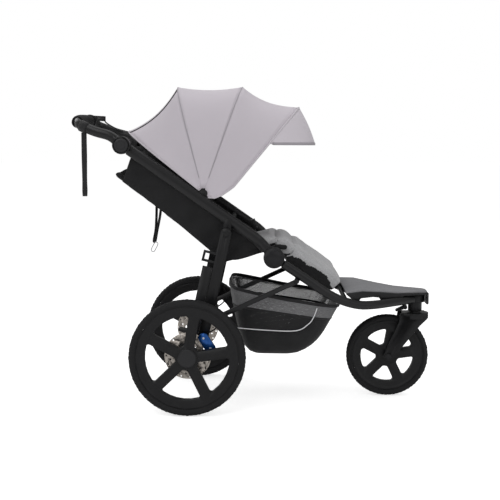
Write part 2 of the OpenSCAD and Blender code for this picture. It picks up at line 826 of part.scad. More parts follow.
// The cross tube, the sprung rods and the pins that the rear wheels turn on
module rear_axle() {
    axle_point = [0, rear_axle_z];
    color("#242426") from_axle() {
        disc(axle_point, 11, -leg_outer_y, leg_outer_y);
        both_sides() {
            disc(axle_point, 18, leg_inner_y, leg_outer_y);
            disc(axle_point, axle_r, leg_outer_y, rear_wheel_y + web_t / 2 + 3);
            translate(xz(axle_point, (leg_inner_y + leg_outer_y) / 2))
                rotate([0, leg_lean, 0]) cylinder(r = rod_r, h = 118);
        }
    }
}

// A caliper over each disc, on an arm from the axle
module brake_calipers() {
    at = [66, rear_axle_z + 44];
    color("#2a5fb0") from_axle() both_sides() difference() {
        union() {
            link(at - turn([22, 0], 124), at + turn([22, 0], 124), 34, leg_outer_y + 0.4, disc_y + 9);
            bar([0, rear_axle_z], at, 16, leg_outer_y + 0.2, disc_y - 2.5);
            disc([0, rear_axle_z], 17, leg_outer_y + 0.2, disc_y - 2.5);
        }
        disc([0, rear_axle_z], axle_r + 0.3, leg_outer_y, disc_y);
        disc([0, rear_axle_z], disc_r + 3, disc_y - 2.4, disc_y + disc_t + 2.4);
    }
}

// Hoses that come out of the calipers and up to the legs
module caliper_hoses() {
    y = leg_outer_y + 5;
    upper = leg_axis(rear_axle_z + 154);
    end = leg_axis(rear_axle_z + 176);
    color("#151515") from_axle() both_sides() sweep(smooth([
        [72, y, rear_axle_z + 80], [92, y, rear_axle_z + 92], [upper[0] + 37, y - 3, rear_axle_z + 112],
        [upper[0] + 40, y - 7, rear_axle_z + 136], xz(upper + [31, 0], y - 10), xz(end + [25, 0], y - 11)
    ], 4), 5, 5, ref = [0, 1, 0], sides = 8);
}

// Foot pedal of the parking brake, behind the axle tube
pedal_y = 120;
module parking_pedal() {
    color("#303032") from_axle() difference() {
        union() {
            disc([0, rear_axle_z], 16, pedal_y - 22, pedal_y + 22);
            plate([[-4, rear_axle_z + 15], [-62, rear_axle_z + 27], [-64, rear_axle_z + 18],
                   [-6, rear_axle_z - 4]], pedal_y - 22, pedal_y + 22);
        }
        disc([0, rear_axle_z], 11 + running, pedal_y - 23, pedal_y + 23);
    }
}

// ---------------------------------------------------------------- wheels

// A tyre with a rounded tread, standing at the origin with its axis along Y
module tyre(d, h) {
    r = d / 2;
    section = [for (a = [0:10:180])
        [r - h * 0.62 + h * 0.62 * pow(sin(a), 0.8), tyre_w / 2 * pow(abs(cos(a)), 0.6) * sign(cos(a))]];
    rotate([90, 0, 0]) rotate_extrude($fn = 96)
        polygon(concat(section, [[r - h, -tyre_w / 2 + 6], [r - h, tyre_w / 2 - 6]]));
}

// The rounded opening between two spokes
function opening(r0, r1, corner, n = 5) =
    let (half = spoke_w / 2, gap = 180 / spokes,
         a0 = asin((half + corner) / (r0 + corner)), a1 = asin((half + corner) / (r1 - corner)))
    concat(
        [for (i = [0:n])
            let (t = -90 + (90 + a1) * i / n)
            (r1 - corner) * [cos(a1), sin(a1)] + corner * [cos(t), sin(t)]],
        [for (i = [1:4]) let (a = a1 + (2 * gap - 2 * a1) * i / 5) r1 * [cos(a), sin(a)]],
        [for (i = [0:n])
            let (c = 2 * gap - a1, t = c + (90 + a1) * i / n)
            (r1 - corner) * [cos(c), sin(c)] + corner * [cos(t), sin(t)]],
        [for (i = [0:n])
            let (c = 2 * gap - a0, t = 2 * gap + 90 + (90 - a0) * i / n)
            (r0 + corner) * [cos(c), sin(c)] + corner * [cos(t), sin(t)]],
        [for (i = [0:n])
            let (t = 180 + a0 + (90 - a0) * i / n)
            (r0 + corner) * [cos(a0), sin(a0)] + corner * [cos(t), sin(t)]]
    );

module wheel_web(r, first) {
    rotate([90, 0, 0]) rotate([0, 0, first]) translate([0, 0, -web_t / 2]) linear_extrude(web_t)
        difference() {
            circle(r = r, $fn = 96);
            for (k = [0:spokes - 1]) rotate(360 / spokes * k)
                polygon(opening(hub_r + 6, r - rim_depth + 10, 9));
        }
}

// A one-piece rim with its spokes and hub
module rim(d, h, first) {
    r = d / 2 - h;
    bed = tyre_w / 2 - 6;
    difference() {
        union() {
            wheel_web(r - 9, first);
            rotate([90, 0, 0]) rotate_extrude($fn = 96)
                polygon([[r - 0.2, -bed], [r - 0.2, bed], [r - 6, bed], [r - 14, web_t / 2],
                         [r - 14, -web_t / 2], [r - 6, -bed]]);
            rotate([90, 0, 0]) translate([0, 0, -web_t / 2 - 1]) cylinder(r = hub_r, h = web_t + 2);
        }
        rotate([90, 0, 0]) translate([0, 0, -50]) cylinder(r = axle_r + running, h = 100);
    }
}

// The rear rim's hub reaches in to the brake disc
module rear_rim() {
    reach = rear_wheel_y - disc_y - disc_t;
    rim(rear_wheel_d, rear_tyre_h, 8);
    difference() {
        translate([0, -web_t / 2 - 1, 0]) rotate([90, 0, 0])
            cylinder(r = 24, h = reach - web_t / 2 - 1.2);
        rotate([90, 0, 0]) translate([0, 0, -100]) cylinder(r = axle_r + running, h = 200);
    }
    difference() {
        translate([0, web_t / 2 + 8, 0]) rotate([90, 0, 0]) cylinder(r1 = 26, r2 = 30, h = 8);
        translate([0, web_t / 2 + 4, 0]) rotate([90, 0, 0]) cylinder(r = axle_r + 2, h = 8);
    }
}

module brake_disc() {
    mean = disc_r - 13;
    rotate([90, 0, 0]) difference() {
        cylinder(r = disc_r, h = disc_t, $fn = 96);
        translate([0, 0, -1]) cylinder(r = axle_r + 1, h = disc_t + 2);
        for (k = [0:disc_holes - 1], row = [0, 1])
            rotate(360 / disc_holes * (k + row / 2)) translate([mean + (row - 0.5) * 13, 0, -1])
                cylinder(r = 2.6, h = disc_t + 2, $fn = 16);
        for (k = [0:5]) rotate(60 * k) translate([38, 0, -1]) cylinder(r = 11, h = disc_t + 2);
    }
}

module on_left_wheel() {
    from_axle() translate([0, rear_wheel_y, rear_axle_z]) children();
}

module rear_tyre_left() {
    color("#2d2d2e") on_left_wheel() tyre(rear_wheel_d, rear_tyre_h);
}

module rear_rim_left() {
    color("#262628") on_left_wheel() rear_rim();
}

module brake_disc_left() {
    color("#a9abae") from_axle() translate([0, disc_y + disc_t, rear_axle_z]) brake_disc();
}

module rear_tyre_right() {
    mirror([0, 1, 0]) rear_tyre_left();
}

module rear_rim_right() {
    mirror([0, 1, 0]) rear_rim_left();
}

module brake_disc_right() {
    mirror([0, 1, 0]) brake_disc_left();
}

module front_tyre() {
    color("#2d2d2e") from_axle() translate([wheelbase, 0, front_axle_z]) tyre(front_wheel_d, front_tyre_h);
}

module front_rim() {
    color("#262628") from_axle() translate([wheelbase, 0, front_axle_z])
        rim(front_wheel_d, front_tyre_h, 8);
}

// ---------------------------------------------------------------- fork

fork_gap = tyre_w / 2 + 6;
fork_t = 13;
crown_back = steer_x - 24;
module fork() {
    axle_point = [wheelbase, front_axle_z];
    color("#232325") from_axle() {
        both_sides() difference() {
            union() {
                plate([[steer_x - 57, crown_top], [steer_x + 40, crown_top], [steer_x + 40, crown_under + 6],
                       [steer_x + 13, crown_under - 21], [axle_point[0] + 14, axle_point[1] - 10],
                       [axle_point[0] - 15, axle_point[1] + 8], [steer_x - 62, crown_under - 6]],
                      fork_gap, fork_gap + fork_t);
                disc(axle_point, 17, fork_gap, fork_gap + fork_t);
            }
            disc(axle_point, axle_r + running, fork_gap - 1, fork_gap + fork_t + 1);
        }
        difference() {
            union() {
                plate([[crown_back, crown_under + 4], [crown_back, crown_top], [steer_x + 40, crown_top],
                       [steer_x + 40, crown_under + 6], [steer_x + 24, crown_under]],
                      -fork_gap, fork_gap);
                translate([steer_x, 0, crown_under + 4]) cylinder(r = 49, h = crown_top - crown_under - 4);
            }
            translate([wheelbase, fork_gap, front_axle_z]) rotate([90, 0, 0])
                cylinder(r = front_wheel_d / 2 + 4, h = 2 * fork_gap);
        }
        translate([steer_x, 0, crown_top - 1]) cylinder(r = stem_r, h = head_top - crown_top + 1);
        translate([steer_x, 0, crown_top]) cylinder(r = 20, h = 5.2);
    }
}

module front_axle() {
    axle_point = [wheelbase, front_axle_z];
    end = fork_gap + fork_t;
    color("#9a9c9f") from_axle() {
        disc(axle_point, axle_r, -end - 5, end + 5);
        both_sides() {
            disc(axle_point, 11, end + 0.2, end + 5);
            disc(axle_point, 12, web_t / 2 + 1.4, fork_gap - 0.2);
        }
    }
}

// Lever that locks the swivel, behind the head
lock_point = [steer_x - 36, crown_top + 18];
module swivel_lock() {
    color("#2e2e30") from_axle() {
        plate([lock_point + [6, -4], lock_point + [6, 7], lock_point + [-4, 7],
               lock_point + [-34, -8], lock_point + [-34, -15], lock_point + [-4, -6]], -11, 11);
        disc(lock_point, 7, -11, 11);
    }
}

front_tubes();
fold_hub_plates();
fold_pins();
steering_head();
front_crossbar();
strut_lugs();
seat_base();
seat_cushion();
crotch_strap();
harness_buckle();
buckle_button();
footrest_shell();
footrest_mat();
basket();
push_tubes();
fold_hubs();
handle_sockets();
leg_brackets();
recline_bar();
side_fabric();
canopy_mounts();
canopy_rear_bow();
canopy_mid_bow();
canopy_front_bow();
canopy_rear_panel();
canopy_mid_panel();
canopy_front_panel();
sun_visor();
handlebar();
handle_grip();
handle_button_left();
handle_button_right();
brake_lever_clamp();
brake_lever();
brake_hose();
strap_collar();
wrist_strap();
backrest_board();
backrest_cushion();
shoulder_straps();
recline_strap();
recline_ring();
leg_rest();
rear_legs();
folding_struts();
rear_axle();
brake_calipers();
caliper_hoses();
parking_pedal();
rear_tyre_left();
rear_rim_left();
brake_disc_left();
rear_tyre_right();
rear_rim_right();
brake_disc_right();
fork();
front_axle();
swivel_lock();
front_tyre();
front_rim();
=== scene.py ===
"""Looks of the three-wheel stroller: cloth, cords, trim and materials round its CAD frame. Metres."""
import json
import math

import bmesh
import bpy
import numpy as np
from mathutils import Matrix, Vector, noise

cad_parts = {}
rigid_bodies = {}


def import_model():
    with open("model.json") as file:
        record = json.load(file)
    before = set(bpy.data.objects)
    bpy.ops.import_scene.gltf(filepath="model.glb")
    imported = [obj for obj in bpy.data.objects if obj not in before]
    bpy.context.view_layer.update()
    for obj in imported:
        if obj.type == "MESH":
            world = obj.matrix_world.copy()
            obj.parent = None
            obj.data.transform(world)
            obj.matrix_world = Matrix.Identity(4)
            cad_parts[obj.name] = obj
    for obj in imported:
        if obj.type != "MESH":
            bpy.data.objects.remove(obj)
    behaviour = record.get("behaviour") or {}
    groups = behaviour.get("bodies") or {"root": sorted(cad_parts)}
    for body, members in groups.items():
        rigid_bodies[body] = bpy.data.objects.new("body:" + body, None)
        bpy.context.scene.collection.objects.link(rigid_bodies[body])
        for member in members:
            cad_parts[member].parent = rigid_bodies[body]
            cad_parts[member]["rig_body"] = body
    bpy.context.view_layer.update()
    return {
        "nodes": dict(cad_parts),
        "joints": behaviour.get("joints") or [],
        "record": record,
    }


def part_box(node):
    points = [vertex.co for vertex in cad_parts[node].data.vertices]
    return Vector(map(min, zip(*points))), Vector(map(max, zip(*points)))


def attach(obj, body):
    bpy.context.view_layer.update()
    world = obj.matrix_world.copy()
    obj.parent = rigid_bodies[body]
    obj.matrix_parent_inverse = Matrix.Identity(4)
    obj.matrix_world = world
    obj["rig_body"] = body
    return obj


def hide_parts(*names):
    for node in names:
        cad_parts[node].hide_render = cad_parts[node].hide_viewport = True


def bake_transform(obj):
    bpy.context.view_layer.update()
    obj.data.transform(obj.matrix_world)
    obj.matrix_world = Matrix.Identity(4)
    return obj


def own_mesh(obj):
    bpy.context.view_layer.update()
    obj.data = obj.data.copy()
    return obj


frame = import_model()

MM = 0.001
LEFT, RIGHT = 1, -1
SIDES = {"left": LEFT, "right": RIGHT}
joints = {joint["name"]: joint for joint in frame["joints"]}
nodes = frame["nodes"]


def pivot(joint):
    """The point that a joint turns about."""
    return Vector(joints[joint]["pos_m"])


fold_hub = pivot("frame_fold")
handle_hub = pivot("handlebar_tilt")
canopy_hub = pivot("canopy_fold")
back_hinge = pivot("backrest_recline")
leg_rod = pivot("leg_rest_tilt")
rear_axle = Vector((pivot("rear_wheel_left_spin").x, 0, pivot("rear_wheel_left_spin").z))
front_axle = pivot("front_wheel_spin")


def flat(x, z, y=0):
    """A point or offset from millimetres forwards, upwards and to the left."""
    return Vector((x * MM, y * MM, z * MM))


# ------------------------------------------------------------------ camera

CAMERA_AT = rear_axle + flat(257, 731, -3703)
camera_data = bpy.data.cameras.new("camera")
camera_data.lens = 73.6
camera_data.sensor_width = 36
camera = bpy.data.objects.new("camera", camera_data)
camera.location = CAMERA_AT
camera.rotation_euler = (math.radians(83.90), 0, math.radians(0.74))
bpy.context.scene.collection.objects.link(camera)
bpy.context.scene.camera = camera


# ------------------------------------------------------------------ lines and meshes

def unit(v):
    return v.normalized()


def mix(a, b, t):
    return a * (1 - t) + b * t


def smooth_line(points, steps):
    """A Catmull-Rom curve through the points, with steps parts between each pair."""
    points = [Vector(p) for p in points]
    line = []
    for i in range(len(points) - 1):
        a, b = points[max(i - 1, 0)], points[i]
        c, d = points[i + 1], points[min(i + 2, len(points) - 1)]
        for s in range(steps):
            t = s / steps
            line.append(0.5 * (2 * b + (c - a) * t + (2 * a - 5 * b + 4 * c - d) * t * t
                               + (3 * b - a - 3 * c + d) * t * t * t))
    return line + [points[-1]]


def even_line(points, count):
    """The same line with count points at equal steps."""
    points = [Vector(p) for p in points]
    gone = [0.0]
    for a, b in zip(points, points[1:]):
        gone.append(gone[-1] + (b - a).length)
    line, k = [], 0
    for i in range(count):
        want = gone[-1] * i / (count - 1)
        while k < len(points) - 2 and gone[k + 1] < want:
            k += 1
        share = (want - gone[k]) / max(gone[k + 1] - gone[k], 1e-9)
        line.append(mix(points[k], points[k + 1], min(share, 1)))
    return line


def link_mesh(name, mesh):
    piece = bpy.data.objects.new(name, mesh)
    bpy.context.scene.collection.objects.link(piece)
    return piece


def mesh_from(name, points, faces, rounded=True):
    """A new object from points and faces."""
    mesh = bpy.data.meshes.new(name)
    mesh.from_pydata([tuple(p) for p in points], [], faces)
    mesh.update()
    if rounded:
        mesh.shade_smooth()
    return link_mesh(name, mesh)


def grid(name, rows, closed=False):
    """A sheet from equal rows of points. closed joins each row's end to its start."""
    wide = len(rows[0])
    last = wide if closed else wide - 1
    faces = [
        (r * wide + c, r * wide + (c + 1) % wide, (r + 1) * wide + (c + 1) % wide, (r + 1) * wide + c)
        for r in range(len(rows) - 1) for c in range(last)
    ]
    return mesh_from(name, [p for row in rows for p in row], faces)


def give_share(piece, values):
    """Stores each point's share of a bend between two bodies."""
    attribute = piece.data.attributes.new("share", "FLOAT", "POINT")
    attribute.data.foreach_set("value", np.asarray(values, np.float32))


def ring_frame(line, i, across):
    """Unit vectors across and up at point i of a line."""
    ahead = unit(line[min(i + 1, len(line) - 1)] - line[max(i - 1, 0)])
    side = across - ahead * across.dot(ahead)
    if side.length < 1e-6:
        side = ahead.orthogonal()
    side.normalize()
    return side, ahead.cross(side)


def squared(value, power):
    """A sine or cosine raised to a power with its sign kept. Below 1 it squares a circle."""
    return math.copysign(abs(value) ** power, value)


def swept(name, line, width, height, across=Vector((0, 1, 0)), sides=16, squareness=1.0, caps=True):
    """A bar of rounded section along a line. squareness below 1 gives flatter faces."""
    rows = []
    for i, centre in enumerate(line):
        side, up = ring_frame(line, i, across)
        turns = [2 * math.pi * k / sides for k in range(sides)]
        rows.append([centre + side * (width / 2 * squared(math.cos(a), squareness))
                     + up * (height / 2 * squared(math.sin(a), squareness)) for a in turns])
    piece = grid(name, rows, closed=True)
    if caps:
        close_holes(piece)
    face_outwards(piece)
    return piece


def reshape(mesh, change, result=None):
    """Runs change on a mesh as a bmesh, and writes it to the result or back to the mesh."""
    shape = bmesh.new()
    shape.from_mesh(mesh)
    change(shape)
    shape.to_mesh(result or mesh)
    shape.free()


def close_holes(piece, below=math.inf):
    """Fills the open edges of a shape that lie below a level."""
    def fill(shape):
        edges = [e for e in shape.edges if e.is_boundary and all(v.co.z < below for v in e.verts)]
        bmesh.ops.holes_fill(shape, edges=edges)
    reshape(piece.data, fill)


def face_outwards(piece, gap=0.01 * MM):
    """Merges doubled points and turns the faces of a closed shape outwards."""
    def turn_out(shape):
        bmesh.ops.remove_doubles(shape, verts=shape.verts, dist=gap)
        bmesh.ops.recalc_face_normals(shape, faces=shape.faces)
    reshape(piece.data, turn_out)


def settle(piece):
    """Turns a piece's modifiers into plain mesh."""
    bpy.context.view_layer.update()
    state = bpy.context.evaluated_depsgraph_get()
    mesh = bpy.data.meshes.new_from_object(piece.evaluated_get(state), depsgraph=state)
    piece.modifiers.clear()
    piece.data = mesh
    return piece


def thicken(piece, thickness):
    """Gives a sheet its thickness, half on each side."""
    solid = piece.modifiers.new("thickness", "SOLIDIFY")
    solid.thickness = thickness
    solid.offset = 0.0
    solid.use_even_offset = True
    solid.use_rim = True
    return settle(piece)


def subdivide(piece):
    smoother = piece.modifiers.new("smooth", "SUBSURF")
    smoother.levels = 1
    smoother.render_levels = 1
    return settle(piece)


def joined(name, parts):
    """One object from several, with their materials kept."""
    shape = bmesh.new()
    materials = []
    for part in parts:
        start = len(shape.faces)
        shape.from_mesh(part.data)
        shape.faces.ensure_lookup_table()
        slots = list(part.data.materials)
        for m in slots:
            if m not in materials:
                materials.append(m)
        for face in shape.faces[start:]:
            if slots:
                face.material_index = materials.index(slots[min(face.material_index, len(slots) - 1)])
        bpy.data.objects.remove(part)
    mesh = bpy.data.meshes.new(name)
    shape.to_mesh(mesh)
    shape.free()
    for m in materials:
        mesh.materials.append(m)
    return link_mesh(name, mesh)


def painted(piece, material):
    piece.data.materials.clear()
    piece.data.materials.append(material)
    return piece


def finish_piece(piece, body, material, replaced=()):
    """Gives a piece its finish and its body, and the CAD nodes that it stands for."""
    if not piece.data.materials:
        piece.data.materials.append(material)
    if body:
        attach(piece, body)
    if replaced:
        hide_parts(*replaced)
    return piece


# ------------------------------------------------------------------ shader effects

def feed(tree, node, inputs):
    """Gives a node its inputs. Each takes a value, or another node's socket."""
    for key, value in inputs.items():
        if isinstance(value, bpy.types.NodeSocket):
            tree.links.new(value, node.inputs[key])
        else:
            node.inputs[key].default_value = value


def add(tree, kind, inputs=None, **settings):
    """A node with its settings and inputs."""
    made = tree.nodes.new(kind)
    for key, value in settings.items():
        setattr(made, key, value)
    feed(tree, made, inputs or {})
    return made


def maths(tree, operation, a, b=0.0):
    return add(tree, "ShaderNodeMath", {0: a, 1: b}, operation=operation).outputs[0]


def spread(tree, value, low, high, to_low=0.0, to_high=1.0):
    """A value mapped from one range to another and kept within it."""
    return add(tree, "ShaderNodeMapRange",
               {"Value": value, "From Min": low, "From Max": high, "To Min": to_low, "To Max": to_high}
               ).outputs["Result"]


def effect(name, inputs, outputs):
    """An empty shader node group: its tree, input sockets by name, and output node."""
    tree = bpy.data.node_groups.new(name, "ShaderNodeTree")
    for label, kind, value in inputs:
        socket = tree.interface.new_socket(name=label, in_out="INPUT", socket_type=kind)
        if value is not None:
            socket.default_value = value
    for label, kind in outputs:
        tree.interface.new_socket(name=label, in_out="OUTPUT", socket_type=kind)
    return tree, tree.nodes.new("NodeGroupInput").outputs, tree.nodes.new("NodeGroupOutput")


NUMBER, VECTOR = "NodeSocketFloat", "NodeSocketVector"


def weave_effect():
    """Plain weave: threads over and under each other, with each thread a little lighter or darker."""
    tree, given, result = effect(
        "weave", [("Vector", VECTOR, None), ("Pitch", NUMBER, 0.001)],
        [("Height", NUMBER), ("Thread", NUMBER)])
    pitch = add(tree, "ShaderNodeCombineXYZ", {axis: given["Pitch"] for axis in "XYZ"})
    threads = add(tree, "ShaderNodeVectorMath", {0: given["Vector"], 1: pitch.outputs[0]},
                  operation="DIVIDE")
    place = add(tree, "ShaderNodeSeparateXYZ", {0: threads.outputs[0]})
    x, y, z = place.outputs
    warp = maths(tree, "ADD", x, z)
    weft = maths(tree, "SUBTRACT", maths(tree, "ADD", y, z), x)
    over = [maths(tree, "ABSOLUTE", maths(tree, "SINE", maths(tree, "MULTIPLY", t, math.pi)))
            for t in (warp, weft)]
    numbers = [maths(tree, "FLOOR", t) for t in (warp, weft)]
    turn = maths(tree, "ABSOLUTE", maths(tree, "MODULO", maths(tree, "ADD", *numbers), 2.0))
    both = add(tree, "ShaderNodeMix", {0: turn, 2: over[0], 3: over[1]})
    lone = add(tree, "ShaderNodeMix", {0: turn, 2: numbers[0], 3: numbers[1]})
    tone = add(tree, "ShaderNodeTexWhiteNoise", {"W": lone.outputs[0]}, noise_dimensions="1D")
    feed(tree, result, {"Height": both.outputs[0], "Thread": tone.outputs["Value"]})
    return tree


def mottle_effect():
    """Soft patches and fine flecks, for fading, dust and heathered yarn."""
    tree, given, result = effect(
        "mottle", [("Vector", VECTOR, None), ("Patch", NUMBER, 14.0), ("Fleck", NUMBER, 600.0)],
        [("Patches", NUMBER), ("Flecks", NUMBER)])
    patches = add(tree, "ShaderNodeTexNoise", {
        "Vector": given["Vector"], "Scale": given["Patch"], "Detail": 4.0})
    flecks = add(tree, "ShaderNodeTexNoise", {
        "Vector": given["Vector"], "Scale": given["Fleck"], "Detail": 1.0})
    feed(tree, result, {"Patches": spread(tree, patches.outputs["Fac"], 0.32, 0.68),
                        "Flecks": spread(tree, flecks.outputs["Fac"], 0.36, 0.64)})
    return tree


def grain_effect():
    """The fine leather-like grain of moulded plastic and rubber, and a mask of its pits for painted shade.
    """
    tree, given, result = effect(
        "grain", [("Vector", VECTOR, None), ("Scale", NUMBER, 900.0)],
        [("Height", NUMBER), ("Pit Shade", NUMBER)])
    cells = add(tree, "ShaderNodeTexVoronoi", {
        "Vector": given["Vector"], "Scale": given["Scale"]}, feature="SMOOTH_F1")
    fine = add(tree, "ShaderNodeTexNoise", {
        "Vector": given["Vector"], "Scale": given["Scale"], "Detail": 2.0})
    height = maths(tree, "ADD", cells.outputs["Distance"], maths(tree, "MULTIPLY", fine.outputs["Fac"], 0.5))
    # The shade mask is 0 in the grain's pits and 1 on its ridges, for painted shade in the colour.
    feed(tree, result, {"Height": height, "Pit Shade": spread(tree, cells.outputs["Distance"], 0.1, 0.7)})
    return tree


def brushed_effect():
    """Long fine scratches round an axle or along a tube."""
    tree, given, result = effect(
        "brushed", [("Vector", VECTOR, None), ("Scale", NUMBER, 60.0), ("Along", VECTOR, (1, 40, 40))],
        [("Height", NUMBER), ("Streaks", NUMBER)])
    stretched = add(tree, "ShaderNodeVectorMath",
                    {0: given["Vector"], 1: given["Along"]}, operation="MULTIPLY")
    streaks = add(tree, "ShaderNodeTexNoise", {
        "Vector": stretched.outputs[0], "Scale": given["Scale"], "Detail": 3.0})
    fac = streaks.outputs["Fac"]
    feed(tree, result, {"Height": fac, "Streaks": spread(tree, fac, 0.3, 0.7)})
    return tree


def net_effect():
    """A knitted net: round holes in staggered rows."""
    tree, given, result = effect(
        "net", [("Vector", VECTOR, None), ("Pitch", NUMBER, 0.004), ("Hole", NUMBER, 0.3)],
        [("Yarn", NUMBER), ("Height", NUMBER)])
    rows_apart = maths(tree, "MULTIPLY", given["Pitch"], 0.866)
    pitch = add(tree, "ShaderNodeCombineXYZ", {"X": given["Pitch"], "Y": rows_apart, "Z": 1.0})
    cells = add(tree, "ShaderNodeVectorMath", {0: given["Vector"], 1: pitch.outputs[0]},
                operation="DIVIDE")
    place = add(tree, "ShaderNodeSeparateXYZ", {0: cells.outputs[0]})
    row = maths(tree, "FLOOR", place.outputs["Y"])
    odd = maths(tree, "MULTIPLY", maths(tree, "ABSOLUTE", maths(tree, "MODULO", row, 2.0)), 0.5)
    x = maths(tree, "SUBTRACT", maths(tree, "FRACT", maths(tree, "ADD", place.outputs["X"], odd)), 0.5)
    y = maths(tree, "SUBTRACT", maths(tree, "FRACT", place.outputs["Y"]), 0.5)
    away = maths(tree, "SQRT", maths(tree, "ADD", maths(tree, "MULTIPLY", x, x),
                                     maths(tree, "MULTIPLY", y, y)))
    edge = maths(tree, "SUBTRACT", away, given["Hole"])
    feed(tree, result, {"Yarn": spread(tree, edge, -0.03, 0.03), "Height": spread(tree, edge, 0.0, 0.2)})
    return tree


weave_group, mottle_group, grain_group, brushed_group, net_group = (
    make() for make in (weave_effect, mottle_effect, grain_effect, brushed_effect, net_effect))


# ------------------------------------------------------------------ materials

def placed(tree, group, inputs):
    """The outputs of an effect, placed in a material."""
    return add(tree, "ShaderNodeGroup", inputs, node_tree=group).outputs


def blank(name, roughness, metallic=0.0):
    """A new material: its tree, shader, Object coordinates and output."""
    material = bpy.data.materials.new(name)
    material.use_nodes = True
    tree = material.node_tree
    shader = tree.nodes["Principled BSDF"]
    feed(tree, shader, {"Roughness": roughness, "Metallic": metallic,
                        "Specular IOR Level": 0.3 if metallic < 0.5 else 0.5})
    place = add(tree, "ShaderNodeTexCoord").outputs["Object"]
    return material, tree, shader, place


def shade(colour, factor):
    return tuple(min(c * factor, 1.0) for c in colour) + (1.0,)


MIX_A, MIX_B, MIX_RESULT = 6, 7, 2  # the colour sockets of a Mix node


def blended(tree, factor, a, b):
    """Colour a where the factor is 0, and b where it is 1."""
    made = add(tree, "ShaderNodeMix", {0: factor, MIX_A: a, MIX_B: b}, data_type="RGBA")
    return made.outputs[MIX_RESULT]


def tinted(tree, factor, colour, dark, light):
    """A colour that goes from dark to light times itself with a mask."""
    return blended(tree, factor, shade(colour, dark), shade(colour, light))


def relief_of(tree, height, strength, distance):
    """The normal of a surface with a relief."""
    return add(tree, "ShaderNodeBump",
               {"Height": height, "Strength": strength, "Distance": distance}).outputs[0]


def cloth_finish(name, colour, pitch=0.0012, flecks=0.16, roughness=0.85, sheen=0.3, relief=0.4):
    """Woven cloth: threads, yarn flecks, slow fading and painted shade in the hollows of the weave."""
    material, tree, shader, place = blank(name, roughness)
    weave = placed(tree, weave_group, {"Vector": place, "Pitch": pitch})
    mottle = placed(tree, mottle_group, {"Vector": place, "Patch": 9.0, "Fleck": 0.6 / pitch})
    threads = tinted(tree, weave["Thread"], colour, 1 - flecks * 0.6, 1 + flecks * 0.6)
    yarn = tinted(tree, mottle["Flecks"], colour, 1 - flecks, 1 + flecks)
    both = blended(tree, 0.5, threads, yarn)
    faded = blended(tree, maths(tree, "MULTIPLY", mottle["Patches"], 0.25), both, shade(colour, 1.12))
    # Painted shade: where the weave sinks between threads, the colour is blended up to 35 % towards 0.55 of
    # itself.
    depth = maths(tree, "MULTIPLY", maths(tree, "SUBTRACT", 1.0, weave["Height"]), 0.35)
    feed(tree, shader, {
        "Base Color": blended(tree, depth, faded, shade(colour, 0.55)),
        "Roughness": spread(tree, mottle["Patches"], 0, 1, roughness - 0.05, roughness + 0.07),
        "Sheen Weight": sheen, "Sheen Roughness": 0.5, "Specular IOR Level": 0.25,
        "Normal": relief_of(tree, weave["Height"], relief, pitch * 0.4)})
    return material


def webbing_finish(name, colour):
    """Flat woven strap: close ribs across and a denser edge, with painted shade between the ribs and painted
    highlight on them.
    """
    material, tree, shader, place = blank(name, 0.6)
    weave = placed(tree, weave_group, {"Vector": place, "Pitch": 0.0018})
    mottle = placed(tree, mottle_group, {"Vector": place, "Patch": 30.0, "Fleck": 900.0})
    # Painted shade and highlight: the colour goes from 0.55 of itself where the weave sinks to 1.35 of
    # itself on its raised threads.
    threads = tinted(tree, weave["Height"], colour, 0.55, 1.35)
    worn = maths(tree, "MULTIPLY", mottle["Flecks"], 0.3)
    feed(tree, shader, {
        "Base Color": blended(tree, worn, threads, shade(colour, 1.9)),
        "Roughness": spread(tree, weave["Thread"], 0, 1, 0.5, 0.72), "Sheen Weight": 0.15,
        "Normal": relief_of(tree, weave["Height"], 0.6, 0.6 * MM)})
    return material


def moulded_finish(name, colour, roughness=0.5, scale=900.0, relief=0.15, dust=0.25):
    """Moulded plastic, rubber or foam with a fine grain, painted shade in the grain's pits and a little
    dust.
    """
    material, tree, shader, place = blank(name, roughness)
    grain = placed(tree, grain_group, {"Vector": place, "Scale": scale})
    mottle = placed(tree, mottle_group, {"Vector": place, "Patch": 26.0, "Fleck": 420.0})
    # Painted shade and highlight: the colour is 0.8 of itself in the grain's pits and up to 1.2 of itself on
    # the ridges between them.
    pit_shaded = tinted(tree, grain["Pit Shade"], colour, 0.8, 1.2)
    dusty = maths(tree, "MULTIPLY", maths(tree, "MULTIPLY", mottle["Patches"], mottle["Flecks"]), dust)
    feed(tree, shader, {
        "Base Color": blended(tree, dusty, pit_shaded, tuple(c * 0.7 + 0.025 for c in colour) + (1.0,)),
        "Roughness": spread(tree, mottle["Patches"], 0, 1, roughness - 0.07, roughness + 0.1),
        "Normal": relief_of(tree, grain["Height"], relief, 0.4 * MM)})
    return material


def metal_finish(name, colour, roughness=0.3, metallic=1.0, along=(1, 40, 40), relief=0.08, coat=0.0):
    """Turned, brushed or painted metal: fine scratches that change its gloss."""
    material, tree, shader, place = blank(name, roughness, metallic)
    brushed = placed(tree, brushed_group, {"Vector": place, "Scale": 60.0, "Along": along})
    mottle = placed(tree, mottle_group, {"Vector": place, "Patch": 18.0, "Fleck": 500.0})
    scratched = spread(tree, brushed["Streaks"], 0, 1, roughness - 0.04, roughness + 0.06)
    feed(tree, shader, {
        "Base Color": tinted(tree, brushed["Streaks"], colour, 0.88, 1.1),
        "Roughness": maths(tree, "ADD", scratched, maths(tree, "MULTIPLY", mottle["Patches"], 0.07)),
        "Coat Weight": coat, "Coat Roughness": 0.2,
        "Normal": relief_of(tree, brushed["Height"], relief, 0.3 * MM)})
    return material


